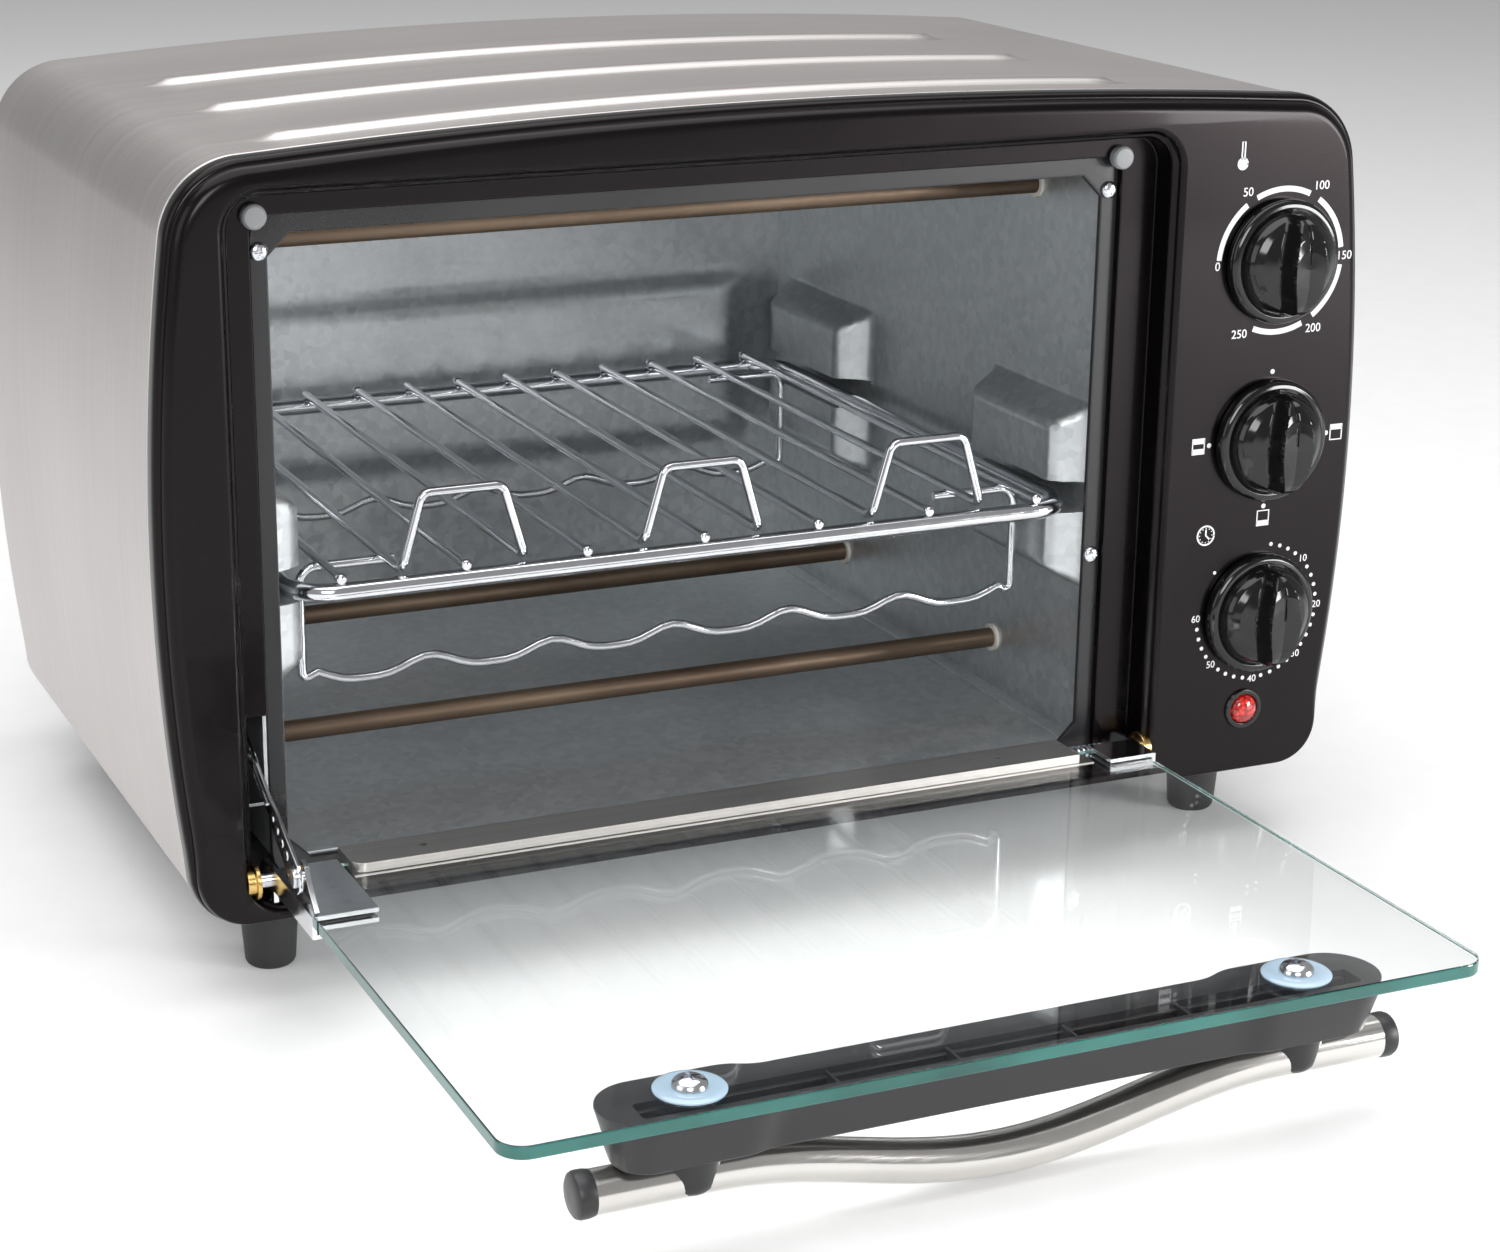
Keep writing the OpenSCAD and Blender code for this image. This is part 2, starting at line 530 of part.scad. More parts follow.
wrap_cover();
front_bezel();
mouth_frame();
oven_left_wall();
oven_right_wall();
oven_back_wall();
oven_roof_sheet();
oven_floor_sheet();
base_pan();
rear_panel();
divider_plate();
feet();
heater_top_front();
heater_top_rear();
heater_bottom_front();
heater_bottom_rear();
heater_insulators();
heater_terminals();
thermostat();
selector_switch();
timer();
temperature_shaft();
selector_shaft();
timer_shaft();
temperature_knob();
selector_knob();
timer_knob();
lamp_lens();
lamp_holder();
terminal_block();
bumpers();
frame_screws();
rear_screws();
hinge_bushes();
stay_guide();
door_glass();
seal_strip();
hinge_plate();
hinge_bracket_left();
hinge_bracket_right();
hinge_pins();
door_spring();
glass_gaskets();
stay_rivet();
link_arm();
handle_base();
handle_tube();
handle_caps();
handle_screws();
handle_washers();
rack_frame();
rack_wires();
rack_loops();
rack_hoops();
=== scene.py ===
import bpy
from math import asin, cos, hypot, pi, radians, sin, sqrt, tan
from mathutils import Matrix, Vector


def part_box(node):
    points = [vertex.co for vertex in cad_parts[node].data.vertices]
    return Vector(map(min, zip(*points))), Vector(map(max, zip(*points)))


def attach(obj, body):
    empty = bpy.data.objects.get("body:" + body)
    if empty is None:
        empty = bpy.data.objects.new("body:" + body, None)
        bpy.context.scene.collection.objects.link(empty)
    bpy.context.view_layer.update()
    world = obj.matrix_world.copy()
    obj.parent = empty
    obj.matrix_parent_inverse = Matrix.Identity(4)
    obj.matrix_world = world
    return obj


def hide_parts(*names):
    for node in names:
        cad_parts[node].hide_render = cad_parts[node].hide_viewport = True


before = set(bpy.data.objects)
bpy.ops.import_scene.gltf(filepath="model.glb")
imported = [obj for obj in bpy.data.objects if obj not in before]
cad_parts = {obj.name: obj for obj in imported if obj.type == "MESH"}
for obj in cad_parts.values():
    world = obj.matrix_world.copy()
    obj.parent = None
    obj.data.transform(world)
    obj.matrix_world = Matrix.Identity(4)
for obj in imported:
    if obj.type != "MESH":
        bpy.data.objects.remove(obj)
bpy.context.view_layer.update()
mm = 0.001

# Y is counted from the bezel face, X from the middle of the object, Z from the table
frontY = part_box("front_bezel")[0].y
glassLow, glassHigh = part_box("door_glass")
ovenX = (glassLow.x + glassHigh.x) / 2 / mm
bodyWidth = (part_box("front_bezel")[1].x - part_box("front_bezel")[0].x) / mm
bodyTop = 268.0
bodyBottom = 26.0
knobX = (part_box("timer_knob")[0].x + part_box("timer_knob")[1].x) / 2 / mm
knobZ = [(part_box(n)[0].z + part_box(n)[1].z) / 2 / mm
         for n in ("temperature_knob", "selector_knob", "timer_knob")]
wireZ = (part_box("rack_wires")[0].z / mm) + 1.5
railLow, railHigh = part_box("rack_frame")
print("frame loaded, oven middle at x", round(ovenX, 2), "knobs at", [round(z, 1) for z in knobZ])


def at(x, y, z):
    return Vector((x * mm, frontY + y * mm, z * mm))


# Camera, lights and floor
view = {"place": (-415.4, -890.5, 402.1), "turn": 23.45, "tip": 18.39, "roll": 0.30,
        "lens": 73.87, "shiftX": 0.0537, "shiftY": 0.0239}


def addCamera():
    bpy.ops.object.camera_add(location=Vector(view["place"]) * mm)
    camera = bpy.context.object
    camera.name = "mainView"
    a, e, r = radians(view["turn"]), radians(view["tip"]), radians(view["roll"])
    forward = Vector((sin(a) * cos(e), cos(a) * cos(e), -sin(e)))
    right = Vector((cos(a), -sin(a), 0))
    up = right.cross(forward)
    across = right * cos(r) + up * sin(r)
    upward = up * cos(r) - right * sin(r)
    turned = Matrix((across, upward, -forward)).transposed().to_4x4()
    camera.matrix_world = Matrix.Translation(Vector(view["place"]) * mm) @ turned
    camera.data.sensor_width = 36
    camera.data.lens = view["lens"]
    camera.data.shift_x = view["shiftX"]
    camera.data.shift_y = view["shiftY"]
    camera.data.clip_start = 0.01
    bpy.context.scene.camera = camera


lamps = {
    "topSoft": {"place": (-0.15, 0.15, 1.9), "aim": (0.0, 0.0, 0.1), "size": 2.4, "power": 41},
    "leftSoft": {"place": (-1.9, -0.2, 0.8), "aim": (0.0, 0.05, 0.15), "size": 1.2, "power": 7},
    "frontHigh": {"place": (-0.75, -1.9, 1.05), "aim": (0.0, 0.1, 0.14), "size": 0.8, "power": 17},
    "panelGlow": {"place": (0.95, -0.95, 0.30), "aim": (0.17, -0.04, 0.16), "size": 0.42,
                  "power": 11},
}


def addLamp(name, place, aim, size, power):
    bpy.ops.object.light_add(type="AREA", location=place)
    lamp = bpy.context.object
    lamp.name = name
    lamp.rotation_euler = (Vector(aim) - Vector(place)).to_track_quat("-Z", "Y").to_euler()
    lamp.data.shape = "SQUARE"
    lamp.data.size = size
    lamp.data.energy = power
    return lamp


# Small helpers for modelling
def plain():
    if bpy.context.mode != "OBJECT":
        bpy.ops.object.mode_set(mode="OBJECT")
    bpy.ops.object.select_all(action="DESELECT")


def focus(piece):
    plain()
    piece.select_set(True)
    bpy.context.view_layer.objects.active = piece
    return piece


def named(name):
    piece = bpy.context.object
    piece.name = name
    return piece


def applyModifier(piece, kind, **settings):
    focus(piece)
    modifier = piece.modifiers.new(kind.title(), kind)
    for key, value in settings.items():
        setattr(modifier, key, value)
    bpy.ops.object.modifier_apply(modifier=modifier.name)
    return piece


def soften(piece, width, segments=2, angle=30):
    return applyModifier(piece, "BEVEL", width=width * mm, segments=segments,
                         limit_method="ANGLE", angle_limit=radians(angle))


def smooth(piece, angle=35):
    focus(piece)
    bpy.ops.object.shade_smooth_by_angle(angle=radians(angle))
    return piece


def mend(piece, outward=True, merge=0.001):
    focus(piece)
    bpy.ops.object.mode_set(mode="EDIT")
    bpy.ops.mesh.select_all(action="SELECT")
    bpy.ops.mesh.remove_doubles(threshold=merge * mm)
    if outward:
        bpy.ops.mesh.normals_make_consistent(inside=False)
    bpy.ops.object.mode_set(mode="OBJECT")
    return piece


def settle(piece):
    focus(piece)
    bpy.ops.object.transform_apply(location=True, rotation=True, scale=True)
    return piece


def joined(name, pieces):
    plain()
    for piece in pieces:
        piece.select_set(True)
    bpy.context.view_layer.objects.active = pieces[0]
    if len(pieces) > 1:
        bpy.ops.object.join()
    pieces[0].name = name
    return pieces[0]


def block(name, low, high, edge=0.0, segments=2):
    plain()
    bpy.ops.mesh.primitive_cube_add(size=1, location=(at(*low) + at(*high)) / 2)
    piece = named(name)
    piece.scale = at(*high) - at(*low)
    settle(piece)
    if edge:
        soften(piece, edge, segments)
    return piece


# A disc drawn up step by step: (radius, distance from the base) along its axis
def turned(name, steps, base, axis=(0, -1, 0), count=64):
    plain()
    (radius, start), rest = steps[0], steps[1:]
    toward = Vector(axis).normalized()
    turn = Vector((0, 0, 1)).rotation_difference(toward)
    place = at(*base) + toward * start * mm
    bpy.ops.mesh.primitive_circle_add(vertices=count, radius=radius * mm, fill_type="NGON",
                                      location=place, rotation=turn.to_euler())
    piece = named(name)
    settle(piece)
    bpy.ops.object.mode_set(mode="EDIT")
    bpy.ops.mesh.select_all(action="SELECT")
    for nextRadius, distance in rest:
        place = at(*base) + toward * distance * mm
        bpy.ops.mesh.extrude_region_move(
            TRANSFORM_OT_translate={"value": toward * (distance - start) * mm})
        k = nextRadius / radius
        bpy.ops.transform.resize(value=(k, k, k), center_override=place)
        radius, start = nextRadius, distance
    bpy.ops.object.mode_set(mode="OBJECT")
    return smooth(mend(piece), 32)


# A grid whose rows are laid along the given rings of points
def lofted(name, rings, caps=False, loop=False, around=True):
    plain()
    rows = [list(ring) + ([ring[0]] if around else []) for ring in rings]
    if loop:
        rows.append(rows[0])
    across, down = len(rows[0]) - 1, len(rows) - 1
    bpy.ops.mesh.primitive_grid_add(x_subdivisions=across, y_subdivisions=down, size=1)
    piece = named(name)
    for corner in piece.data.vertices:
        i = round((corner.co.x + 0.5) * across)
        j = round((corner.co.y + 0.5) * down)
        corner.co = rows[j][i]
    mend(piece, outward=False)
    if caps:
        bpy.ops.object.mode_set(mode="EDIT")
        bpy.ops.mesh.select_all(action="SELECT")
        bpy.ops.mesh.fill_holes(sides=0)
        bpy.ops.object.mode_set(mode="OBJECT")
    return mend(piece)


def wire(name, points, radius, closed=False, sides=5, caps=True):
    plain()
    bpy.ops.curve.primitive_bezier_curve_add(location=(0, 0, 0))
    piece = named(name)
    curve = piece.data
    curve.splines.clear()
    spline = curve.splines.new("POLY")
    spline.points.add(len(points) - 1)
    for point, place in zip(spline.points, points):
        point.co = (*place, 1)
    spline.use_cyclic_u = closed
    curve.dimensions = "3D"
    curve.bevel_depth = radius * mm
    curve.bevel_resolution = sides
    curve.use_fill_caps = caps and not closed
    focus(piece)
    bpy.ops.object.convert(target="MESH")
    piece = named(name)
    return smooth(mend(piece), 50)


# A path whose corners are turned into arcs of one bend radius
def bent(points, bend, steps=7, closed=False):
    points = [Vector(p) for p in points]
    path, count = [], len(points)
    for k, here in enumerate(points):
        if not closed and k in (0, count - 1):
            path.append(here)
            continue
        back, ahead = points[k - 1] - here, points[(k + 1) % count] - here
        angle = back.angle(ahead)
        if angle > pi - 0.02:
            path.append(here)
            continue
        reach = min(bend * mm / tan(angle / 2), back.length * 0.49, ahead.length * 0.49)
        start, end = here + back.normalized() * reach, here + ahead.normalized() * reach
        middle = here + (back.normalized() + ahead.normalized()).normalized() * (
            reach / cos(angle / 2))
        a, b = start - middle, end - middle
        turn = a.angle(b)
        for s in range(steps + 1):
            f = s / steps
            path.append(middle + (a * sin((1 - f) * turn) + b * sin(f * turn)) / sin(turn))
    return path


# A copy of a CAD solid with its flats joined and its edges eased
def eased(name, node, width, segments=2, angle=35, shade=35):
    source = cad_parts[node]
    piece = bpy.data.objects.new(name, source.data.copy())
    bpy.context.scene.collection.objects.link(piece)
    mend(piece, outward=False, merge=0.002)
    bpy.ops.object.mode_set(mode="EDIT")
    bpy.ops.mesh.select_all(action="SELECT")
    bpy.ops.mesh.dissolve_limited(angle_limit=radians(1))
    bpy.ops.object.mode_set(mode="OBJECT")
    if width:
        soften(piece, width, segments, angle)
    return smooth(piece, shade)


def cut(piece, *tools):
    for tool in tools:
        applyModifier(piece, "BOOLEAN", operation="DIFFERENCE", solver="EXACT", object=tool)
        bpy.data.objects.remove(tool)
    return piece


def finished(piece, body, material, slotName, *nodes):
    applyModifier(piece, "WEIGHTED_NORMAL", keep_sharp=True, weight=50)
    piece.data.materials.clear()
    for each in (material if isinstance(material, list) else [material]):
        piece.data.materials.append(each)
    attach(piece, body)
    if nodes:
        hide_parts(*nodes)
    return piece


# Materials
class Value:
    def __init__(self, finish, socket):
        self.finish, self.socket = finish, socket

    def combine(self, operation, a, b):
        return self.finish.node("ShaderNodeMath", {"operation": operation}, {0: a, 1: b})

    def __add__(self, other):
        return self.combine("ADD", self, other)

    def __radd__(self, other):
        return self.combine("ADD", other, self)

    def __sub__(self, other):
        return self.combine("SUBTRACT", self, other)

    def __rsub__(self, other):
        return self.combine("SUBTRACT", other, self)

    def __mul__(self, other):
        return self.combine("MULTIPLY", self, other)

    def __rmul__(self, other):
        return self.combine("MULTIPLY", other, self)

    def __truediv__(self, other):
        return self.combine("DIVIDE", self, other)

    def __pow__(self, other):
        return self.combine("POWER", self, other)


class Finish:
    def __init__(self, name):
        self.material = bpy.data.materials.new(name)
        self.material.use_nodes = True
        self.tree = self.material.node_tree
        self.shader = self.tree.nodes["Principled BSDF"]

    def node(self, kind, settings=None, inputs=None, out=0):
        made = self.tree.nodes.new(kind)
        for key, value in (settings or {}).items():
            if key == "stops":
                while len(made.color_ramp.elements) < len(value):
                    made.color_ramp.elements.new(0.5)
                for element, (place, colour) in zip(made.color_ramp.elements, value):
                    element.position = place
                    element.color = (*colour, 1)
            else:
                setattr(made, key, value)
        for key, value in (inputs or {}).items():
            self.feed(made.inputs[key], value)
        return Value(self, made.outputs[out])

    def feed(self, socket, value):
        if isinstance(value, Value):
            self.tree.links.new(value.socket, socket)
        else:
            socket.default_value = value

    def place(self, stretch=(1, 1, 1)):
        spot = self.node("ShaderNodeTexCoord", out=3)
        return self.node("ShaderNodeMapping", {}, {"Vector": spot, "Scale": stretch})

    def noise(self, stretch, scale=1.0, detail=3.0, rough=0.5):
        return self.node("ShaderNodeTexNoise", {}, {
            "Vector": self.place(stretch), "Scale": scale, "Detail": detail, "Roughness": rough})

    def cells(self, stretch, scale, out=1):
        return self.node("ShaderNodeTexVoronoi", {}, {
            "Vector": self.place(stretch), "Scale": scale}, out=out)

    def between(self, value, low, high, toLow, toHigh):
        return self.node("ShaderNodeMapRange", {}, {
            "Value": value, "From Min": low, "From Max": high, "To Min": toLow, "To Max": toHigh})

    def mixed(self, share, first, second):
        return self.node("ShaderNodeMix", {"data_type": "RGBA"}, {
            0: share, 6: (*first, 1) if isinstance(first, tuple) else first,
            7: (*second, 1) if isinstance(second, tuple) else second}, out=2)

    def bumped(self, height, strength, distance=0.0005):
        return self.node("ShaderNodeBump", {}, {
            "Height": height, "Strength": strength, "Distance": distance})

    def shade(self, **sockets):
        for key, value in sockets.items():
            label = key[0].upper() + "".join(" " + c if c.isupper() else c for c in key[1:])
            label = {"Ior": "IOR", "Specular": "Specular IOR Level"}.get(label, label)
            if isinstance(value, tuple) and len(value) == 3:
                value = (*value, 1)
            self.feed(self.shader.inputs[label], value)
        return self.material


def brushedFinish(name, dark, light, stretch, low, high, bump=0.10, scale=1.0):
    f = Finish(name)
    grain = f.noise(stretch, scale, 4.0, 0.62)
    cloud = f.noise((1, 1, 1), 9.0, 2.0)
    share = f.between(grain * 0.7 + cloud * 0.3, 0.3, 0.7, 0.0, 1.0)
    return f.shade(baseColor=f.mixed(share, dark, light), metallic=1.0,
                   roughness=f.between(grain, 0.25, 0.75, low, high),
                   normal=f.bumped(grain, bump, 0.0002))


def glossFinish(name, dark, light, low, high, metallic=0.0, coat=0.4, bump=0.02):
    f = Finish(name)
    cloud = f.noise((1, 1, 1), 14.0, 3.0)
    dust = f.noise((1, 1, 1), 900.0, 2.0)
    return f.shade(baseColor=f.mixed(cloud, dark, light), metallic=metallic,
                   roughness=f.between(cloud, 0.3, 0.7, low, high), coatWeight=coat,
                   coatRoughness=0.06, normal=f.bumped(dust, bump, 0.0001))


def satinFinish(name, dark, light, low, high, grainScale=1400.0, bump=0.15, metallic=0.0):
    f = Finish(name)
    grain = f.noise((1, 1, 1), grainScale, 3.0)
    cloud = f.noise((1, 1, 1), 22.0, 3.0)
    return f.shade(baseColor=f.mixed(cloud * 0.6 + grain * 0.4, dark, light), metallic=metallic,
                   roughness=f.between(cloud, 0.3, 0.7, low, high),
                   normal=f.bumped(grain, bump, 0.0002))


def platedFinish(name, dark, light, low, high, streak=(1, 1, 1), bump=0.03):
    f = Finish(name)
    grain = f.noise(streak, 240.0, 3.0)
    cloud = f.noise((1, 1, 1), 35.0, 3.0)
    return f.shade(baseColor=f.mixed(cloud, dark, light), metallic=1.0,
                   roughness=f.between(grain, 0.3, 0.7, low, high),
                   normal=f.bumped(grain, bump, 0.0001))


def spangledFinish(name):
    f = Finish(name)
    flakes = f.cells((1, 1, 1), 330.0)
    level = f.node("ShaderNodeRGBToBW", {}, {0: flakes})
    grain = f.noise((60, 1400, 60), 1.0, 3.0)
    cloud = f.noise((1, 1, 1), 11.0, 4.0, 0.6)
    share = f.between(level * 0.45 + cloud * 0.55, 0.25, 0.75, 0.0, 1.0)
    stain = f.between(cloud, 0.55, 0.8, 0.0, 0.35)
    tone = f.mixed(share, (0.46, 0.485, 0.50), (0.64, 0.66, 0.67))
    return f.shade(baseColor=f.mixed(stain, tone, (0.44, 0.45, 0.44)), metallic=0.82,
                   roughness=f.between(level + grain * 0.4, 0.2, 1.2, 0.30, 0.46),
                   normal=f.bumped(level * 0.4 + grain * 0.25, 0.10, 0.0002))


def heaterFinish(name):
    f = Finish(name)
    cloud = f.noise((6, 30, 30), 1.0, 4.0, 0.6)
    grain = f.noise((400, 900, 900), 1.0, 3.0)
    tone = f.mixed(f.between(cloud, 0.35, 0.65, 0.0, 1.0), (0.085, 0.055, 0.038),
                   (0.20, 0.145, 0.10))
    return f.shade(baseColor=tone, metallic=0.75,
                   roughness=f.between(grain, 0.3, 0.7, 0.38, 0.56),
                   normal=f.bumped(grain, 0.12, 0.0002))


def glassFinish(name, tint, roughness=0.0):
    f = Finish(name)
    smear = f.noise((14, 14, 14), 1.0, 4.0, 0.6)
    return f.shade(baseColor=f.mixed(smear, tint, (1.0, 1.0, 1.0)), transmissionWeight=1.0, ior=1.46,
                   roughness=f.between(smear, 0.45, 0.8, roughness, roughness + 0.03))


def edgeGlassFinish(name):
    f = Finish(name)
    band = f.noise((30, 30, 700), 1.0, 3.0)
    cloud = f.noise((20, 20, 20), 1.0, 3.0)
    tone = f.mixed(f.between(cloud, 0.3, 0.7, 0.0, 1.0), (0.008, 0.10, 0.085), (0.04, 0.27, 0.23))
    return f.shade(baseColor=tone, roughness=f.between(band, 0.3, 0.7, 0.05, 0.16),
                   transmissionWeight=0.35, ior=1.46, coatWeight=0.6, coatRoughness=0.03,
                   normal=f.bumped(band, 0.05, 0.0002))


def lampFinish(name):
    f = Finish(name)
    dots = f.cells((1, 1, 1), 620.0, out=0)
    glow = f.between(dots, 0.0, 0.6, 1.0, 0.0)
    return f.shade(baseColor=f.mixed(glow, (0.25, 0.004, 0.003), (0.95, 0.035, 0.02)),
                   roughness=f.between(dots, 0.0, 1.0, 0.06, 0.2), coatWeight=1.0,
                   coatRoughness=0.03, emissionColor=f.mixed(glow, (0.1, 0.0, 0.0), (1.0, 0.05, 0.03)),
                   emissionStrength=0.35, normal=f.bumped(dots, 0.5, 0.0004))


coverSteel = brushedFinish("brushedCover", (0.48, 0.455, 0.45), (0.66, 0.63, 0.615),
                           (2.5, 2400, 2.5), 0.34, 0.46, 0.07)
bezelGloss = glossFinish("bronzeEnamel", (0.009, 0.0072, 0.0076), (0.015, 0.012, 0.0125),
                         0.24, 0.31, 0.9, 0.12)
blackEnamel = satinFinish("blackEnamel", (0.008, 0.008, 0.009), (0.022, 0.022, 0.024),
                          0.26, 0.40, 1600.0, 0.10)
ovenSteel = spangledFinish("spangledSteel")
backPaint = satinFinish("backPaint", (0.045, 0.045, 0.05), (0.085, 0.085, 0.09), 0.4, 0.6,
                        1100.0, 0.25)
footRubber = satinFinish("footRubber", (0.012, 0.012, 0.013), (0.03, 0.03, 0.031), 0.45, 0.62,
                         1500.0, 0.3)
heaterBronze = heaterFinish("heaterSheath")
ceramicWhite = glossFinish("ceramicGlaze", (0.72, 0.69, 0.62), (0.84, 0.81, 0.75), 0.2, 0.4)
platedSteel = platedFinish("platedSteel", (0.62, 0.64, 0.68), (0.78, 0.79, 0.82), 0.14, 0.26)
switchPlastic = satinFinish("switchPlastic", (0.66, 0.61, 0.52), (0.78, 0.74, 0.66), 0.4, 0.55)
timerSheet = brushedFinish("timerCase", (0.55, 0.55, 0.55), (0.72, 0.72, 0.72), (900, 4, 4),
                           0.3, 0.45)
knobGloss = glossFinish("knobBlack", (0.003, 0.003, 0.0035), (0.007, 0.007, 0.0075), 0.09, 0.15,
                        0.0, 0.05)
lampRed = lampFinish("lampRed")
bumperGrey = satinFinish("bumperSilicone", (0.21, 0.215, 0.22), (0.29, 0.30, 0.305), 0.4, 0.55)
bushBrass = platedFinish("bushBrass", (0.62, 0.40, 0.13), (0.80, 0.56, 0.22), 0.18, 0.32)
clearGlass = glassFinish("doorGlass", (0.95, 0.985, 0.975))
edgeGlass = edgeGlassFinish("glassEdge")
stripSteel = brushedFinish("stripSteel", (0.46, 0.44, 0.42), (0.66, 0.63, 0.60), (2, 1500, 1500),
                           0.30, 0.44, 0.08)
bracketChrome = platedFinish("bracketChrome", (0.66, 0.67, 0.69), (0.82, 0.83, 0.85), 0.08, 0.18)
gasketBlack = satinFinish("gasketBlack", (0.012, 0.012, 0.012), (0.03, 0.03, 0.03), 0.5, 0.7)
handleBlack = satinFinish("handleBlack", (0.010, 0.010, 0.011), (0.022, 0.022, 0.024), 0.30, 0.42,
                          1800.0, 0.22)
handleSteel = platedFinish("handleSteel", (0.66, 0.64, 0.61), (0.80, 0.78, 0.75), 0.13, 0.21,
                           (0.06, 8, 8), 0.05)
washerClear = glossFinish("washerClear", (0.33, 0.47, 0.60), (0.50, 0.64, 0.75), 0.12, 0.2)
rackChrome = platedFinish("rackChrome", (0.66, 0.67, 0.70), (0.82, 0.83, 0.86), 0.07, 0.16)
printWhite = satinFinish("printWhite", (0.70, 0.70, 0.72), (0.80, 0.80, 0.82), 0.45, 0.6,
                         1200.0, 0.05)


def floorFinish(name):
    f = Finish(name)
    grain = f.noise((1, 1, 1), 60.0, 3.0)
    return f.shade(baseColor=f.mixed(grain, (0.86, 0.86, 0.865), (0.90, 0.90, 0.90)),
                   roughness=f.between(grain, 0.3, 0.7, 0.55, 0.7), specular=0.2)


def worldLight():
    world = bpy.data.worlds.new("studioAir")
    bpy.context.scene.world = world
    world.use_nodes = True
    sky = world.node_tree.nodes["Background"]
    sky.inputs["Color"].default_value = (1.0, 1.0, 1.0, 1)
    sky.inputs["Strength"].default_value = 0.33


bpy.context.scene.view_settings.view_transform = "Standard"
addCamera()
for lampName, values in lamps.items():
    addLamp(lampName, **values)
worldLight()
plain()
bpy.ops.mesh.primitive_plane_add(size=12, location=(0, 0, 0))
studioFloor = named("studioFloor")
studioFloor.data.materials.append(floorFinish("paleFloor"))
print("camera, lights, floor and materials made")


# Outlines shared by the cover, bezel and rear panel
outline = {"midZ": 140.0, "sideArc": 700.0, "topRadius": 26.0, "lowRadius": 18.0, "shoulder": 29.0}


def sideX(z):
    return bodyWidth / 2 - (z - outline["midZ"]) ** 2 / (2 * outline["sideArc"])


topZ0 = bodyTop - outline["shoulder"]
lean = asin((topZ0 - outline["midZ"]) / outline["sideArc"])
lowZ = bodyBottom + outline["lowRadius"]
lowLean = asin((outline["midZ"] - lowZ) / outline["sideArc"])
topC = (sideX(topZ0) - outline["topRadius"] * cos(lean), topZ0 - outline["topRadius"] * sin(lean))
lowC = (sideX(lowZ) - outline["lowRadius"] * cos(lowLean), lowZ)


def crownZ(x):
    return bodyTop - (bodyTop - topC[1] - outline["topRadius"]) * (x / topC[0]) ** 2


# Right half of the body outline from the bottom corner to the crown, inset by i
def halfOutline(i, cornerSteps=16, sideSteps=26, topSteps=26):
    points = []
    for k in range(cornerSteps + 1):
        a = radians(-90) + k * (radians(90) - lowLean) / cornerSteps
        r = outline["lowRadius"] - i
        points.append((lowC[0] + r * cos(a), lowC[1] + r * sin(a)))
    for k in range(1, sideSteps + 1):
        z = lowZ + k * (topZ0 - lowZ) / sideSteps
        points.append((sideX(z) - i, z))
    for k in range(1, cornerSteps + 1):
        a = lean + k * (radians(88) - lean) / cornerSteps
        r = outline["topRadius"] - i
        points.append((topC[0] + r * cos(a), topC[1] + r * sin(a)))
    for k in range(1, topSteps):
        x = topC[0] * (1 - k / topSteps)
        points.append((x, crownZ(x) - i))
    return points


def nearLow(z, least):
    t = min(max((z - bodyBottom) / 34.0, 0.0), 1.0)
    return least + (1 - least) * t * t * (3 - 2 * t)


# The whole outline at one depth; the inset narrows towards the thin bottom edge
def bodyRing(i, y, low=30):
    half = []
    for (x0, z0), (x1, z1) in zip(halfOutline(0), halfOutline(i)):
        k = nearLow(z0, 0.3)
        half.append((x0 + (x1 - x0) * k, z0 + (z1 - z0) * k))
    ring = half + [(0, bodyTop - i)] + [(-x, z) for x, z in reversed(half)]
    x0, z0 = ring[-1]
    ring += [(x0 + (ring[0][0] - x0) * k / low, z0) for k in range(1, low)]
    return [at(x, y, z) for x, z in ring]


# The same number of points as bodyRing, laid round a rectangle with rounded corners
def frameRing(left, right, low, high, radius, y, chamfer=False, cornerSteps=16, sideSteps=26,
              topSteps=26, base=30):
    def corner(cx, cz, start):
        out = []
        for k in range(cornerSteps + 1):
            a = radians(start + 90 * k / cornerSteps)
            if chamfer:
                f = k / cornerSteps
                p = Vector((cos(radians(start)), sin(radians(start)))).lerp(
                    Vector((cos(radians(start + 90)), sin(radians(start + 90)))), f)
                out.append((cx + radius * p.x, cz + radius * p.y))
            else:
                out.append((cx + radius * cos(a), cz + radius * sin(a)))
        return out
    ring = corner(right - radius, low + radius, -90)
    a, b = ring[-1], (right, high - radius)
    ring += [(right, a[1] + (b[1] - a[1]) * k / sideSteps) for k in range(1, sideSteps)]
    ring += corner(right - radius, high - radius, 0)
    a, b = ring[-1], (left + radius, high)
    steps = 2 * topSteps
    ring += [(a[0] + (b[0] - a[0]) * k / steps, high) for k in range(1, steps)]
    ring += corner(left + radius, high - radius, 90)
    a, b = ring[-1], (left, low + radius)
    ring += [(left, a[1] + (b[1] - a[1]) * k / sideSteps) for k in range(1, sideSteps)]
    ring += corner(left + radius, low + radius, 180)
    a, b = ring[-1], ring[0]
    ring += [(a[0] + (b[0] - a[0]) * k / base, low) for k in range(1, base)]
    return [at(x, y, z) for x, z in ring]


# Brushed cover with its three long swaged bars
cover = {"front": 12.0, "back": 240.0, "sheet": 0.9, "bars": (33.0, 96.0, 158.0),
         "hemSteps": (0.0, 0.35, 0.8, 1.6, 2.6, 4.0, 7.0, 11.0),
         "hemInset": (0.95, 0.30, 0.12, 0.16, 0.42, 0.60, 0.60, 0.60),
         "barLeft": -168.0, "barRight": 128.0, "barHalf": 7.0, "barRise": 2.0}


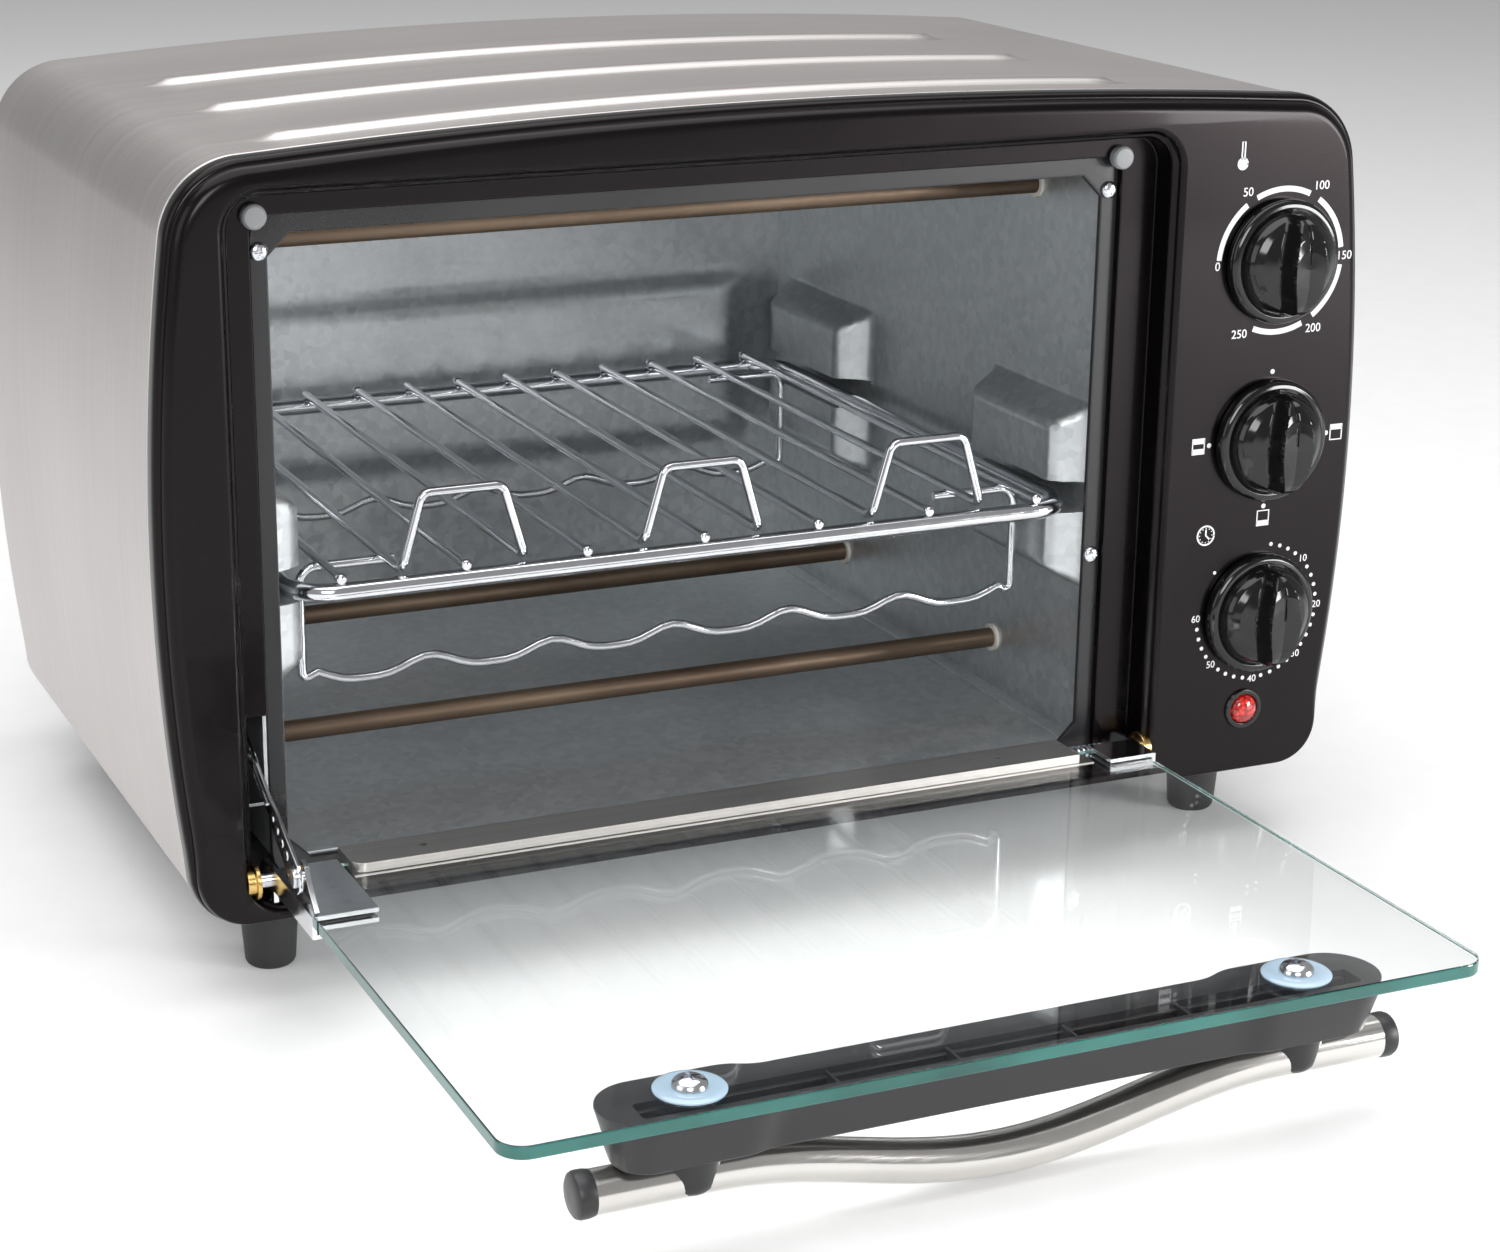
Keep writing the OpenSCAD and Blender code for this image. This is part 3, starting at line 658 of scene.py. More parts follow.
def barLift(x, y):
    lift = 0.0
    for middle in cover["bars"]:
        near = min(max(x, cover["barLeft"] + 12), cover["barRight"] - 12)
        along = (x - near) * 0.62
        off = hypot(along, y - middle)
        t = min(max((cover["barHalf"] - off) / 4.2, 0.0), 1.0)
        lift = max(lift, cover["barRise"] * t * t * (3 - 2 * t))
    return lift


def makeCover():
    half = halfOutline(0.0, 18, 30, 44)
    path = [p for p in half if p[0] <= lowC[0] + 30]
    path = path + [(0, bodyTop)] + [(-x, z) for x, z in reversed(path)]
    depths = [cover["front"] + step for step in cover["hemSteps"]]
    for middle in cover["bars"]:
        depths += [middle - cover["barHalf"] - 1 + k for k in range(int(2 * cover["barHalf"]) + 3)]
    depths += [50.0, 62.0, 75.0, 115.0, 130.0, 142.0, 175.0, 190.0, 205.0, 220.0, 232.0, cover["back"]]
    depths = sorted(set(depths))
    rings = []
    for y in depths:
        inset = cover["hemInset"][0]
        for step, hem in zip(cover["hemSteps"], cover["hemInset"]):
            if cover["front"] + step <= y + 1e-6:
                inset = hem
        ring = []
        for k, (x, z) in enumerate(path):
            ahead, back = path[min(k + 1, len(path) - 1)], path[max(k - 1, 0)]
            tangent = Vector((ahead[0] - back[0], ahead[1] - back[1])).normalized()
            out = Vector((tangent.y, -tangent.x))
            lift = barLift(x, y) if z > 240 else 0.0
            ring.append(at(x + out.x * (lift - inset), y, z + out.y * (lift - inset)))
        rings.append(ring)
    piece = lofted("coverShell", rings, around=False)
    top = sum(f.normal.z * f.area for f in piece.data.polygons if f.center.z > 0.25)
    if top < 0:
        focus(piece)
        bpy.ops.object.mode_set(mode="EDIT")
        bpy.ops.mesh.select_all(action="SELECT")
        bpy.ops.mesh.flip_normals()
        bpy.ops.object.mode_set(mode="OBJECT")
    applyModifier(piece, "SOLIDIFY", thickness=cover["sheet"] * mm, offset=-1)
    return finished(smooth(piece, 40), "oven", coverSteel, "brushed_cover", "wrap_cover")


makeCover()
print("cover made")

# Bezel: stepped rim, flat face, double-lipped recess round the mouth
bezel = {"recessLeft": ovenX - 155.5, "recessRight": ovenX + 160.0, "recessLow": 31.0,
         "recessHigh": 250.0, "corner": 10.0,
         "rim": ((0.9, 12.0), (0.25, 11.3), (0.0, 10.2), (0.0, 6.6), (0.3, 5.2), (0.9, 4.3),
                 (1.6, 3.9), (2.1, 3.9), (2.4, 3.5), (2.6, 2.6), (3.2, 1.5), (4.2, 0.7),
                 (5.2, 0.2), (6.6, 0.0)),
         "lip": ((4.0, 0.0), (3.6, 0.04), (3.0, 0.25), (2.5, 0.7), (2.1, 1.3), (1.9, 2.1),
                 (1.6, 2.5), (1.1, 2.7), (0.55, 3.0), (0.2, 3.6), (0.0, 4.6), (0.0, 11.2),
                 (-0.25, 11.8), (-0.8, 12.0)),
         "mouthGrow": 6.0, "rib": 9.0, "wall": 3.0, "slotLow": 31.0, "slotHigh": 90.0}
mouth = {"left": ovenX - 140.5, "right": ovenX + 140.5, "low": 41.0, "high": 237.0}


def recessRing(grow, y):
    r = max(bezel["corner"] + grow, 1.0)
    low = grow * 0.5 if grow > 0 else grow
    return frameRing(bezel["recessLeft"] - grow, bezel["recessRight"] + grow,
                     bezel["recessLow"] - low, bezel["recessHigh"] + grow, r, y)


def mouthRing(grow, y, radius=4.0, chamfer=False):
    return frameRing(mouth["left"] - grow, mouth["right"] + grow, mouth["low"] - grow,
                     mouth["high"] + grow, radius, y, chamfer)


def makeBezel():
    grow = bezel["mouthGrow"]
    rings = [bodyRing(i, y) for i, y in bezel["rim"]]
    rings += [recessRing(g, y) for g, y in bezel["lip"]]
    rings += [mouthRing(grow + 0.7, 12.0, 6), mouthRing(grow + 0.2, 12.15, 5.5),
              mouthRing(grow, 12.6, 5), mouthRing(grow, 14.5, 5), mouthRing(grow + 3, 14.5, 7),
              bodyRing(bezel["rib"], 14.4), bodyRing(bezel["rib"], 5.0),
              bodyRing(bezel["wall"], 5.6), bodyRing(bezel["wall"], 12.0)]
    piece = lofted("bezelShell", rings, loop=True)
    for z in knobZ:
        cut(piece, turned("shaftTool", ((4.6, 0), (4.6, 30)), (knobX, -8, z), (0, 1, 0), 32))
    slot = block("slotTool", (bezel["recessLeft"] + 1, 10.5, bezel["slotLow"]),
                 (ovenX - 145.0, 16, bezel["slotHigh"]), 0.6)
    cut(piece, slot)
    return finished(smooth(piece, 38), "oven", bezelGloss, "bronze_enamel", "front_bezel")


makeBezel()
print("bezel made")

# Black frame inside the recess, with clipped corners
innerFrame = {"front": 14.5, "back": 16.0, "left": ovenX - 146.2, "right": ovenX + 154.0,
              "low": 33.0, "high": 247.0, "clip": 7.0}


def makeInnerFrame():
    f, s = innerFrame["front"], innerFrame
    rings = [frameRing(s["left"], s["right"], s["low"], s["high"], 12, f + 0.4),
             frameRing(s["left"] + 0.4, s["right"] - 0.4, s["low"] + 0.4, s["high"] - 0.4, 12, f),
             mouthRing(0.7, f, s["clip"], True), mouthRing(0.15, f + 0.25, s["clip"], True),
             mouthRing(0.0, f + 0.7, s["clip"], True), mouthRing(0.0, s["back"], s["clip"], True),
             frameRing(s["left"], s["right"], s["low"], s["high"], 12, s["back"])]
    piece = lofted("mouthFrame", rings, loop=True)
    return finished(smooth(piece, 38), "oven", blackEnamel, "black_enamel", "mouth_frame")


makeInnerFrame()
print("mouth frame made")

# Oven lining with pressed rack guides
lining = {"half": 144.0, "front": 16.0, "back": 266.0, "floor": 41.0, "roof": 240.0, "sheet": 0.9,
          "guides": ((25.0, 78.0), (188.0, 245.0)), "bands": ((94.2, 122.2), (131.8, 159.8)),
          "reach": 13.0, "slopeY": 8.0}


def guidePress(y, z):
    press = 0.0
    for y0, y1 in lining["guides"]:
        for k, (z0, z1) in enumerate(lining["bands"]):
            slope = lining["slopeY"]
            ty = min((y - y0 + slope) / slope, (y1 + slope - y) / slope, 1.0)
            # a steep ledge faces the rack wire and a longer slope leaves it
            sharp, gentle = 0.9, 9.0
            top, foot = (sharp, gentle) if k == 0 else (gentle, sharp)
            tz = min((z - z0) / foot, (z1 - z) / top, 1.0)
            t = max(min(ty, tz), 0.0)
            press = max(press, (t * t * (3 - 2 * t)) * lining["reach"])
    return press


def makeSideWall(name, side, node):
    s = lining
    ys = [s["front"] + k * 2.0 for k in range(int((s["back"] - s["front"]) / 2) + 1)]
    zs = sorted({s["floor"] + k * 2.0 for k in range(100)} | {s["roof"]}
                | {z for band in s["bands"] for edge in band
                   for z in (edge - 1.0, edge - 0.7, edge - 0.4, edge - 0.1, edge, edge + 0.3,
                             edge + 0.6, edge + 0.9, edge + 1.2)})
    rings = []
    for z in zs:
        rings.append([at(ovenX + side * (s["half"] - guidePress(y, z)), y, z) for y in ys])
    piece = lofted(name, rings, around=False)
    turnToward(piece, Vector((-side, 0, 0)))
    applyModifier(piece, "SOLIDIFY", thickness=s["sheet"] * mm, offset=-1)
    for y, z in ((62, 227), (200, 227), (80, 59), (200, 59)):
        cut(piece, turned("heaterTool", ((5.3, 0), (5.3, 40)),
                          (ovenX + side * (s["half"] - 20), y, z), (side, 0, 0), 32))
    return finished(smooth(piece, 50), "oven", ovenSteel, "oven_steel", node)


def turnToward(piece, direction):
    total = sum((f.normal.dot(direction) * f.area for f in piece.data.polygons), 0.0)
    if total < 0:
        focus(piece)
        bpy.ops.object.mode_set(mode="EDIT")
        bpy.ops.mesh.select_all(action="SELECT")
        bpy.ops.mesh.flip_normals()
        bpy.ops.object.mode_set(mode="OBJECT")


backWall = {"bulgeLow": 90.0, "bulgeHigh": 164.0, "rise": 4.6, "slope": 11.0}


def makeBackWall():
    s, b = lining, backWall
    xs = [ovenX - s["half"] + k * 4.0 for k in range(int(s["half"] / 2) + 1)]
    zs = [s["floor"] - 1 + k * 2.5 for k in range(81)]
    rings = []
    for z in zs:
        row = []
        for x in xs:
            tx = min((x - ovenX + s["half"] - 12) / 12, (ovenX + s["half"] - 12 - x) / 12, 1.0)
            tz = min((z - b["bulgeLow"]) / b["slope"], (b["bulgeHigh"] - z) / b["slope"], 1.0)
            t = max(min(tx, tz), 0.0)
            row.append(at(x, s["back"] - b["rise"] * t * t * (3 - 2 * t), z))
        rings.append(row)
    piece = lofted("ovenBack", rings, around=False)
    turnToward(piece, Vector((0, -1, 0)))
    applyModifier(piece, "SOLIDIFY", thickness=s["sheet"] * mm, offset=-1)
    return finished(smooth(piece, 50), "oven", ovenSteel, "oven_steel", "oven_back_wall")


makeSideWall("ovenLeft", -1, "oven_left_wall")
makeSideWall("ovenRight", 1, "oven_right_wall")
makeBackWall()

floorSheet = {"lipRadius": 0.7}


def makeFloor():
    s = lining
    left, right = ovenX - s["half"], ovenX + s["half"]
    sheet = block("ovenFloorSheet", (left, s["front"], s["floor"] - 1), (right, s["back"], s["floor"]), 0.2)
    seam = block("seamBar", (right - 7.2, s["front"] + 2, s["floor"] - 0.2),
                 (right - 4.6, s["back"] - 3, s["floor"] + 0.9), 0.4)
    lip = turned("frontLip", ((floorSheet["lipRadius"], 0), (floorSheet["lipRadius"], 2 * s["half"] - 1)),
                 (left + 0.5, s["front"] + 0.8, s["floor"] + 0.1), (1, 0, 0), 16)
    sweep = wire("backCove", [at(left + 1, s["back"] - 1.2, s["floor"] + 0.6),
                              at(right - 1, s["back"] - 1.2, s["floor"] + 0.6)], 1.3)
    piece = joined("ovenFloor", [sheet, seam, lip, sweep])
    return finished(smooth(piece, 35), "oven", ovenSteel, "oven_steel", "oven_floor_sheet")


makeFloor()
finished(eased("ovenRoof", "oven_roof_sheet", 0.2), "oven", ovenSteel, "oven_steel",
         "oven_roof_sheet")
print("oven lining made")

# Four tube heaters with crimped ends
heaters = {"radius": 3.5, "left": -181.0, "right": 127.0,
           "places": (("heater_top_front", "heaterTopFront", 62, 227),
                      ("heater_top_rear", "heaterTopRear", 200, 227),
                      ("heater_bottom_front", "heaterBottomFront", 80, 59),
                      ("heater_bottom_rear", "heaterBottomRear", 200, 59))}
for node, name, y, z in heaters["places"]:
    r, length = heaters["radius"], heaters["right"] - heaters["left"]
    steps = ((r - 0.5, 0), (r, 0.5), (r, 9), (r - 0.25, 9.8), (r, 10.6), (r, length - 10.6),
             (r - 0.25, length - 9.8), (r, length - 9), (r, length - 0.5), (r - 0.5, length))
    rod = turned(name, steps, (heaters["left"], y, z), (1, 0, 0), 40)
    finished(rod, "oven", heaterBronze, "heater_sheath", node)
print("heaters made")

# Wire rack: outer rail, cross wires, three front loops, two wavy hoops
rack = {"half": 135.0, "front": 15.0, "back": 249.0, "bend": 14.0, "rail": 3.0, "wire": 1.5,
        "pitch": 20.2, "loop": 24.0, "leanIn": 6.9, "hoops": (40.0, 226.0), "hoopHalf": 127.0,
        "drop": 38.4, "hump": 4.8}
railZ = (railLow.z + railHigh.z) / 2 / mm


def makeRack():
    r = rack
    left, right = ovenX - r["half"], ovenX + r["half"]
    loop = bent([at(left, r["front"], railZ), at(right, r["front"], railZ),
                 at(right, r["back"], railZ), at(left, r["back"], railZ)], r["bend"], 12, True)
    rail = wire("rackRail", loop, r["rail"], closed=True, sides=7)
    finished(rail, "rack", rackChrome, "rack_chrome", "rack_frame")
    straight = []
    for i in (-6, -4, -2, 0, 2, 4, 6):
        x = ovenX + i * r["pitch"]
        straight.append(wire("crossWire", [at(x, r["front"] - 1.2, wireZ), at(x, 60, wireZ),
                                           at(x, 190, wireZ), at(x, r["back"] + 1.2, wireZ)],
                             r["wire"], sides=5))
        for y in (r["front"], r["back"]):
            nub = turned("weldNub", ((1.9, 0), (1.75, 0.6), (1.2, 1.15), (0.5, 1.4)),
                         (x, y, wireZ + 0.5), (0, 0, 1), 14)
            straight.append(nub)
    finished(joined("rackWires", straight), "rack", rackChrome, "rack_chrome", "rack_wires")
    loops = []
    for c in (-4, 0, 4):
        x, p, y = ovenX + c * r["pitch"], r["pitch"], r["front"] + 1.5
        path = bent([at(x - p, r["back"] + 1, wireZ), at(x - p, y, wireZ),
                     at(x - p + r["leanIn"], y, wireZ + r["loop"]),
                     at(x + p - r["leanIn"], y, wireZ + r["loop"]), at(x + p, y, wireZ),
                     at(x + p, r["back"] + 1, wireZ)], 3.6, 6)
        loops.append(wire("frontLoop", path, r["wire"], sides=5))
    finished(joined("rackLoops", loops), "rack", rackChrome, "rack_chrome", "rack_loops")
    hoops = []
    for y in r["hoops"]:
        h, z = r["hoopHalf"], wireZ - 2.8
        wave = []
        for k in range(0, 63):
            x = -h + 5 + k * (2 * h - 10) / 62
            lift = (0.5 + 0.5 * cos(x * 6 * pi / h)) ** 1.7
            wave.append(at(ovenX + x, y, z - r["drop"] + r["hump"] * lift))
        ends = [at(ovenX - 96, y, z), at(ovenX - h, y, z)]
        foot = [at(ovenX - h, y, z - r["drop"] + 1.5)]
        path = ends + foot + wave + [at(ovenX + h, y, z - r["drop"] + 1.5),
                                     at(ovenX + h, y, z), at(ovenX + 96, y, z)]
        path = bent(path[:3] + [path[3]], 5.5, 6)[:-1] + wave + bent(
            [wave[-1]] + path[-3:], 5.5, 6)[1:]
        hoops.append(wire("hoop", path, r["wire"], sides=5))
    finished(joined("rackHoops", hoops), "rack", rackChrome, "rack_chrome", "rack_hoops")


makeRack()
print("rack made")

# Door glass with green edges
pane = {"left": ovenX - 150.0, "right": ovenX + 150.0, "front": -202.0, "back": -5.0,
        "low": 41.3, "high": 45.3, "corner": 8.0, "arris": 0.45}


def makeGlass():
    p = pane
    piece = block("doorGlass", (p["left"], p["front"], p["low"]), (p["right"], p["back"], p["high"]))
    focus(piece)
    bpy.ops.object.mode_set(mode="EDIT")
    bpy.ops.mesh.select_mode(type="EDGE")
    bpy.ops.mesh.select_all(action="DESELECT")
    bpy.ops.object.mode_set(mode="OBJECT")
    front = frontY + (p["front"] + 1) * mm
    for edge in piece.data.edges:
        a, b = (piece.data.vertices[i].co for i in edge.vertices)
        edge.select = abs(a.x - b.x) < 1e-5 and abs(a.y - b.y) < 1e-5 and a.y < front
    bpy.ops.object.mode_set(mode="EDIT")
    bpy.ops.mesh.bevel(offset=p["corner"] * mm, segments=10, affect="EDGES")
    bpy.ops.object.mode_set(mode="OBJECT")
    soften(piece, p["arris"], 2, 50)
    finished(smooth(piece, 20), "door", [clearGlass, edgeGlass], "door_glass", "door_glass")
    piece.visible_shadow = False  # lamps reach the floor below
    for face in piece.data.polygons:
        face.material_index = 0 if abs(face.normal.z) > 0.9 else 1
    return piece


makeGlass()

# Hinge parts
finished(eased("sealStrip", "seal_strip", 0.45, 3), "door", stripSteel, "strip_steel",
         "seal_strip")
finished(eased("hingePlate", "hinge_plate", 0.12), "door", stripSteel, "strip_steel",
         "hinge_plate")
finished(eased("bracketLeft", "hinge_bracket_left", 0.35, 3), "door", bracketChrome,
         "bracket_chrome", "hinge_bracket_left")
finished(eased("bracketRight", "hinge_bracket_right", 0.35, 3), "door", bracketChrome,
         "bracket_chrome", "hinge_bracket_right")
finished(eased("hingePins", "hinge_pins", 0.3), "door", platedSteel, "plated_steel", "hinge_pins")
finished(eased("hingeBushes", "hinge_bushes", 0.3), "oven", bushBrass, "bush_brass",
         "hinge_bushes")
finished(eased("glassGaskets", "glass_gaskets", 0.05), "door", gasketBlack, "gasket",
         "glass_gaskets")
rivetLow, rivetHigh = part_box("stay_rivet")
rivetMiddle = (rivetLow + rivetHigh) / 2 / mm
rivet = turned("stayRivet", ((2.3, 0), (2.9, 0.15), (3.2, 0.5), (3.2, 1.0), (1.95, 1.0),
                             (1.95, 4.8), (3.2, 4.8), (3.2, 5.15), (2.7, 5.35), (0.3, 5.4)),
               (rivetLow.x / mm, rivetMiddle.y - frontY / mm, rivetMiddle.z), (1, 0, 0), 40)
finished(smooth(rivet, 35), "door", platedSteel, "plated_steel", "stay_rivet")
finished(eased("stayGuide", "stay_guide", 0.2), "oven", platedSteel, "plated_steel", "stay_guide")

stay = {"x": ovenX - 152.2, "y": -31.0, "z": 54.0, "lift": 27.0, "bumps": (9, 14, 19, 24)}


def makeLinkArm():
    arm = eased("linkArm", "link_arm", 0.28, 3)
    a, parts = radians(stay["lift"]), [arm]
    for k, reach in enumerate(stay["bumps"]):
        y, z = stay["y"] + reach * cos(a), stay["z"] + reach * sin(a)
        parts.append(turned("armBump", ((1.9 - 0.15 * k, -0.2), (1.5 - 0.15 * k, 0.22),
                                        (0.7, 0.38)), (stay["x"], y, z), (-1, 0, 0), 20))
    rib = bent([at(stay["x"] - 0.05, stay["y"] + s * cos(a), stay["z"] + s * sin(a))
                for s in (30, 50, 70)], 4)
    parts.append(wire("armRib", rib, 0.55, sides=3))
    return finished(smooth(joined("linkArm", parts), 35), "stay_arm", bracketChrome,
                    "bracket_chrome", "link_arm")


makeLinkArm()

spring = {"left": ovenX + 127.9, "right": ovenX + 146.2, "turns": 9, "radius": 3.0, "wire": 0.8}


def makeSpring():
    s, points = spring, []
    for k in range(s["turns"] * 18 + 1):
        a = 2 * pi * k / 18
        x = s["left"] + (s["right"] - s["left"]) * k / (s["turns"] * 18)
        points.append(at(x, 3 + s["radius"] * cos(a), 40 + s["radius"] * sin(a)))
    return finished(wire("doorSpring", points, s["wire"], sides=3), "door", platedSteel,
                    "plated_steel", "door_spring")


makeSpring()
print("door glass and hinge parts made")

# Handle: moulded base under the glass, posts, bowed tube, caps, screws
handle = {"y": -188.0, "tubeZ": 21.0, "postX": 93.5, "padHalf": 12.5, "bend": 88.0, "bow": 12.5,
          "tube": 6.3, "end": 123.0,
          "levels": ((27.3, 8.2, 7.0), (27.6, 9.0, 7.8), (28.3, 9.7, 8.3), (34.0, 11.6, 9.4),
                     (40.7, 13.6, 10.4), (41.15, 13.5, 10.3), (41.28, 13.1, 9.9))}


def baseRing(z, pad, bar):
    h, points = handle, []
    reach = h["postX"] + h["padHalf"]
    for k in range(25):
        a = -pi / 2 + pi * k / 24
        points.append((reach + pad * cos(a), pad * sin(a)))
    count = 110

    def half(x):
        away = max(abs(abs(x) - h["postX"]) - h["padHalf"], 0.0)
        circle = sqrt(max(pad ** 2 - away ** 2, 0.0))
        return (circle + bar + sqrt((circle - bar) ** 2 + 4.0)) / 2
    end = half(reach) - pad
    for k in range(1, count):
        x = reach - 2 * reach * k / count
        points.append((x, half(x) - end))
    for k in range(25):
        a = pi / 2 + pi * k / 24
        points.append((-reach + pad * cos(a), pad * sin(a)))
    for k in range(1, count):
        x = -reach + 2 * reach * k / count
        points.append((x, -(half(x) - end)))
    return [at(ovenX + x, h["y"] + y, z) for x, y in points]


def makeHandle():
    h = handle
    base = lofted("handleBase", [baseRing(z, pad, bar) for z, pad, bar in h["levels"]], caps=True)
    pocket = block("pocketTool", (ovenX - 110, h["y"] - 8.6, 33.0), (ovenX + 110, h["y"] + 0.4, 44),
                   1.2, 3)
    cut(base, pocket)
    parts = [base]
    for k in range(6):
        x = ovenX - 90 + 36 * k
        parts.append(block("pocketRib", (x - 0.5, h["y"] - 8.7, 33), (x + 0.5, h["y"] + 0.5, 40.6), 0.2))
    parts.append(block("pocketLedge", (ovenX - 109, h["y"] - 1.4, 33), (ovenX + 109, h["y"] + 0.5, 39.4),
                       0.3))
    for s in (-1, 1):
        x = ovenX + s * h["postX"]
        parts.append(turned("post", ((9.3, 0), (8.9, 1.4), (8.3, 3.6), (7.8, 6), (7.4, 8.4),
                                     (6.8, 10.2), (5.4, 11.6), (3.2, 12.3), (1.0, 12.5)),
                            (x, h["y"], 28.6), (0, 0, -1), 56))
    base = joined("handleBase", parts)
    finished(smooth(base, 38), "door", handleBlack, "handle_black", "handle_base")
    path = [at(ovenX - h["end"], h["y"], h["tubeZ"]), at(ovenX - 105, h["y"], h["tubeZ"])]
    for k in range(45):
        x = -h["bend"] + 4 * k
        path.append(at(ovenX + x, h["y"], h["tubeZ"] - h["bow"] * (1 + cos(pi * x / h["bend"])) / 2))
    path += [at(ovenX + 105, h["y"], h["tubeZ"]), at(ovenX + h["end"], h["y"], h["tubeZ"])]
    tube = wire("handleTube", path, h["tube"], sides=12)
    finished(tube, "door", handleSteel, "handle_steel", "handle_tube")
    caps = []
    for s in (-1, 1):
        caps.append(turned("endCap", ((6.3, -1.5), (6.6, 0), (6.62, 2.3), (6.2, 3.3), (5.2, 3.9),
                                      (2.0, 4.0)),
                           (ovenX + s * h["end"], h["y"], h["tubeZ"]), (s, 0, 0), 48))
    finished(joined("handleCaps", caps), "door", handleBlack, "handle_black", "handle_caps")
    washers, screws = [], []
    for s in (-1, 1):
        x = ovenX + s * h["postX"]
        washers.append(turned("washer", ((10.0, 0), (10.0, 0.35), (9.5, 0.8), (8.2, 1.05),
                                         (6.4, 0.95), (5.4, 0.8), (4.8, 0.8)),
                              (x, h["y"], 45.32), (0, 0, 1), 56))
        screws.append(phillips("padScrew", (x, h["y"], 46.15), (0, 0, 1), 5.0, 3.0))
    finished(joined("handleWashers", washers), "door", washerClear, "washer_clear",
             "handle_washers")
    finished(joined("handleScrews", screws), "door", platedSteel, "plated_steel",
             "handle_screws")


# A pan head with a cross recess, its seat at the given place
def phillips(name, base, axis, radius, height):
    r, h = radius, height
    head = turned(name, ((r * 0.96, 0), (r, h * 0.12), (r * 0.96, h * 0.4), (r * 0.84, h * 0.66),
                         (r * 0.62, h * 0.86), (r * 0.3, h * 0.98), (r * 0.05, h)), base, axis, 40)
    a, low, high = Vector(axis), h * 0.45, h * 1.2
    for turn in (0, 1):
        wide, thin = r * 0.52, r * 0.10
        sides = Vector((wide if turn else thin, 0, 0)), thin if turn else wide
        across = Vector((0, 0, sides[1])) if abs(a.y) > 0.5 else Vector((0, sides[1], 0))
        mid0, mid1 = Vector(base) + a * low, Vector(base) + a * high
        nearCorner = mid0 - sides[0] - across
        farCorner = mid1 + sides[0] + across
        corners = [tuple(min(p, q) for p, q in zip(nearCorner, farCorner)),
                   tuple(max(p, q) for p, q in zip(nearCorner, farCorner))]
        cut(head, block("crossTool", corners[0], corners[1]))
    return smooth(head, 32)


makeHandle()
print("handle made")

# Control knobs: skirt ring, dome and a lens-shaped grip
knob = {"radius": 21.0, "face": -0.6, "lensRadius": 33.0, "lensOffset": 27.0, "steep": 4.5,
        "skirt": ((0.0, 11.0), (6.0, 10.9), (9.0, 10.5), (13.0, 9.4), (15.4, 7.9), (16.6, 6.2),
                  (17.1, 4.6), (17.35, 3.5), (17.8, 3.7), (18.4, 4.0), (19.6, 3.85), (20.4, 3.3),
                  (20.9, 2.4), (21.0, 1.4)),
        "grip": ((0.0, 18.4), (6.0, 18.0), (10.0, 17.3), (12.5, 16.2), (14.5, 14.6), (16.0, 12.2),
                 (17.0, 8.0), (17.6, 3.0), (18.2, -4.0), (21.0, -30.0))}


def along(table, r):
    for (r0, h0), (r1, h1) in zip(table, table[1:]):
        if r <= r1:
            return h0 + (h1 - h0) * (r - r0) / max(r1 - r0, 1e-9)
    return table[-1][1]


def knobHeight(x, z):
    r = hypot(x, z)
    dome = along(knob["skirt"], r)
    wide = sqrt(max(knob["lensRadius"] ** 2 - z * z, 0.0)) - knob["lensOffset"]
    off = abs(x) - max(wide, 0.0) + (0.0 if wide > 0 else -wide * 0.6)
    slot = 0.55 * min(max((0.5 - abs(x)) / 0.25, 0.0), 1.0) if 1.5 < z < 14.5 else 0.0
    grip = along(knob["grip"], r) - max(off, 0.0) * knob["steep"] - slot + 0.25 * min(off, 0.0)
    return (dome + grip + sqrt((dome - grip) ** 2 + 0.5)) / 2


def makeKnob(name, node, body, z, count=192):
    radii = [0.35 * k for k in range(1, 61)]
    radii = sorted(set([r for r in radii if r < 21.0] + [17.1, 17.35, 18.4, 20.4, 20.9, 21.0]))
    rings = [[at(knobX, knob["face"] - knobHeight(0, 0), z)] * count]
    for r in radii:
        ring = []
        for k in range(count):
            a = 2 * pi * k / count
            x, up = r * cos(a), r * sin(a)
            ring.append(at(knobX + x, knob["face"] - knobHeight(x, up), z + up))
        rings.append(ring)
    rings.append([at(knobX + 21 * cos(2 * pi * k / count), knob["face"],
                     z + 21 * sin(2 * pi * k / count)) for k in range(count)])
    piece = lofted(name, rings, caps=True)
    return finished(smooth(piece, 45), body, knobGloss, "knob_black", node)


for (name, node, body), z in zip((("temperatureKnob", "temperature_knob", "temperature_dial"),
                                  ("selectorKnob", "selector_knob", "selector_dial"),
                                  ("timerKnob", "timer_knob", "timer_dial")), knobZ):
    makeKnob(name, node, body, z)
print("knobs made")

# White print on the panel: figures, arcs, dots and plain pictures
dials = {"figure": 4.1, "arc": 24.0, "arcWide": 1.9, "dot": 0.62, "ring": 24.0, "raise": 0.04,
         "scale": (("0", 181, 24.4), ("50", 121, 27.6), ("100", 59, 28.2), ("150", 0, 25.4),
                   ("200", -58, 28.2), ("250", -121, 27.8)),
         "arcs": ((176, 126), (116, 65), (55, 7), (-7, -54), (-65, -112))}


def figure(text, x, z, size):
    plain()
    bpy.ops.object.text_add(location=at(x, -dials["raise"], z), rotation=(pi / 2, 0, 0))
    piece = named("figure")
    piece.data.body = text
    piece.data.size = size * mm
    piece.data.align_x, piece.data.align_y = "CENTER", "CENTER"
    piece.data.extrude = 0.03 * mm
    piece.data.offset = 0.02 * mm
    focus(piece)
    bpy.ops.object.convert(target="MESH")
    return settle(named("figure"))


def dot(x, z, radius):
    return turned("dot", ((radius, 0), (radius, 0.05), (radius * 0.9, 0.07)), (x, 0.0, z),
                  (0, -1, 0), 16)


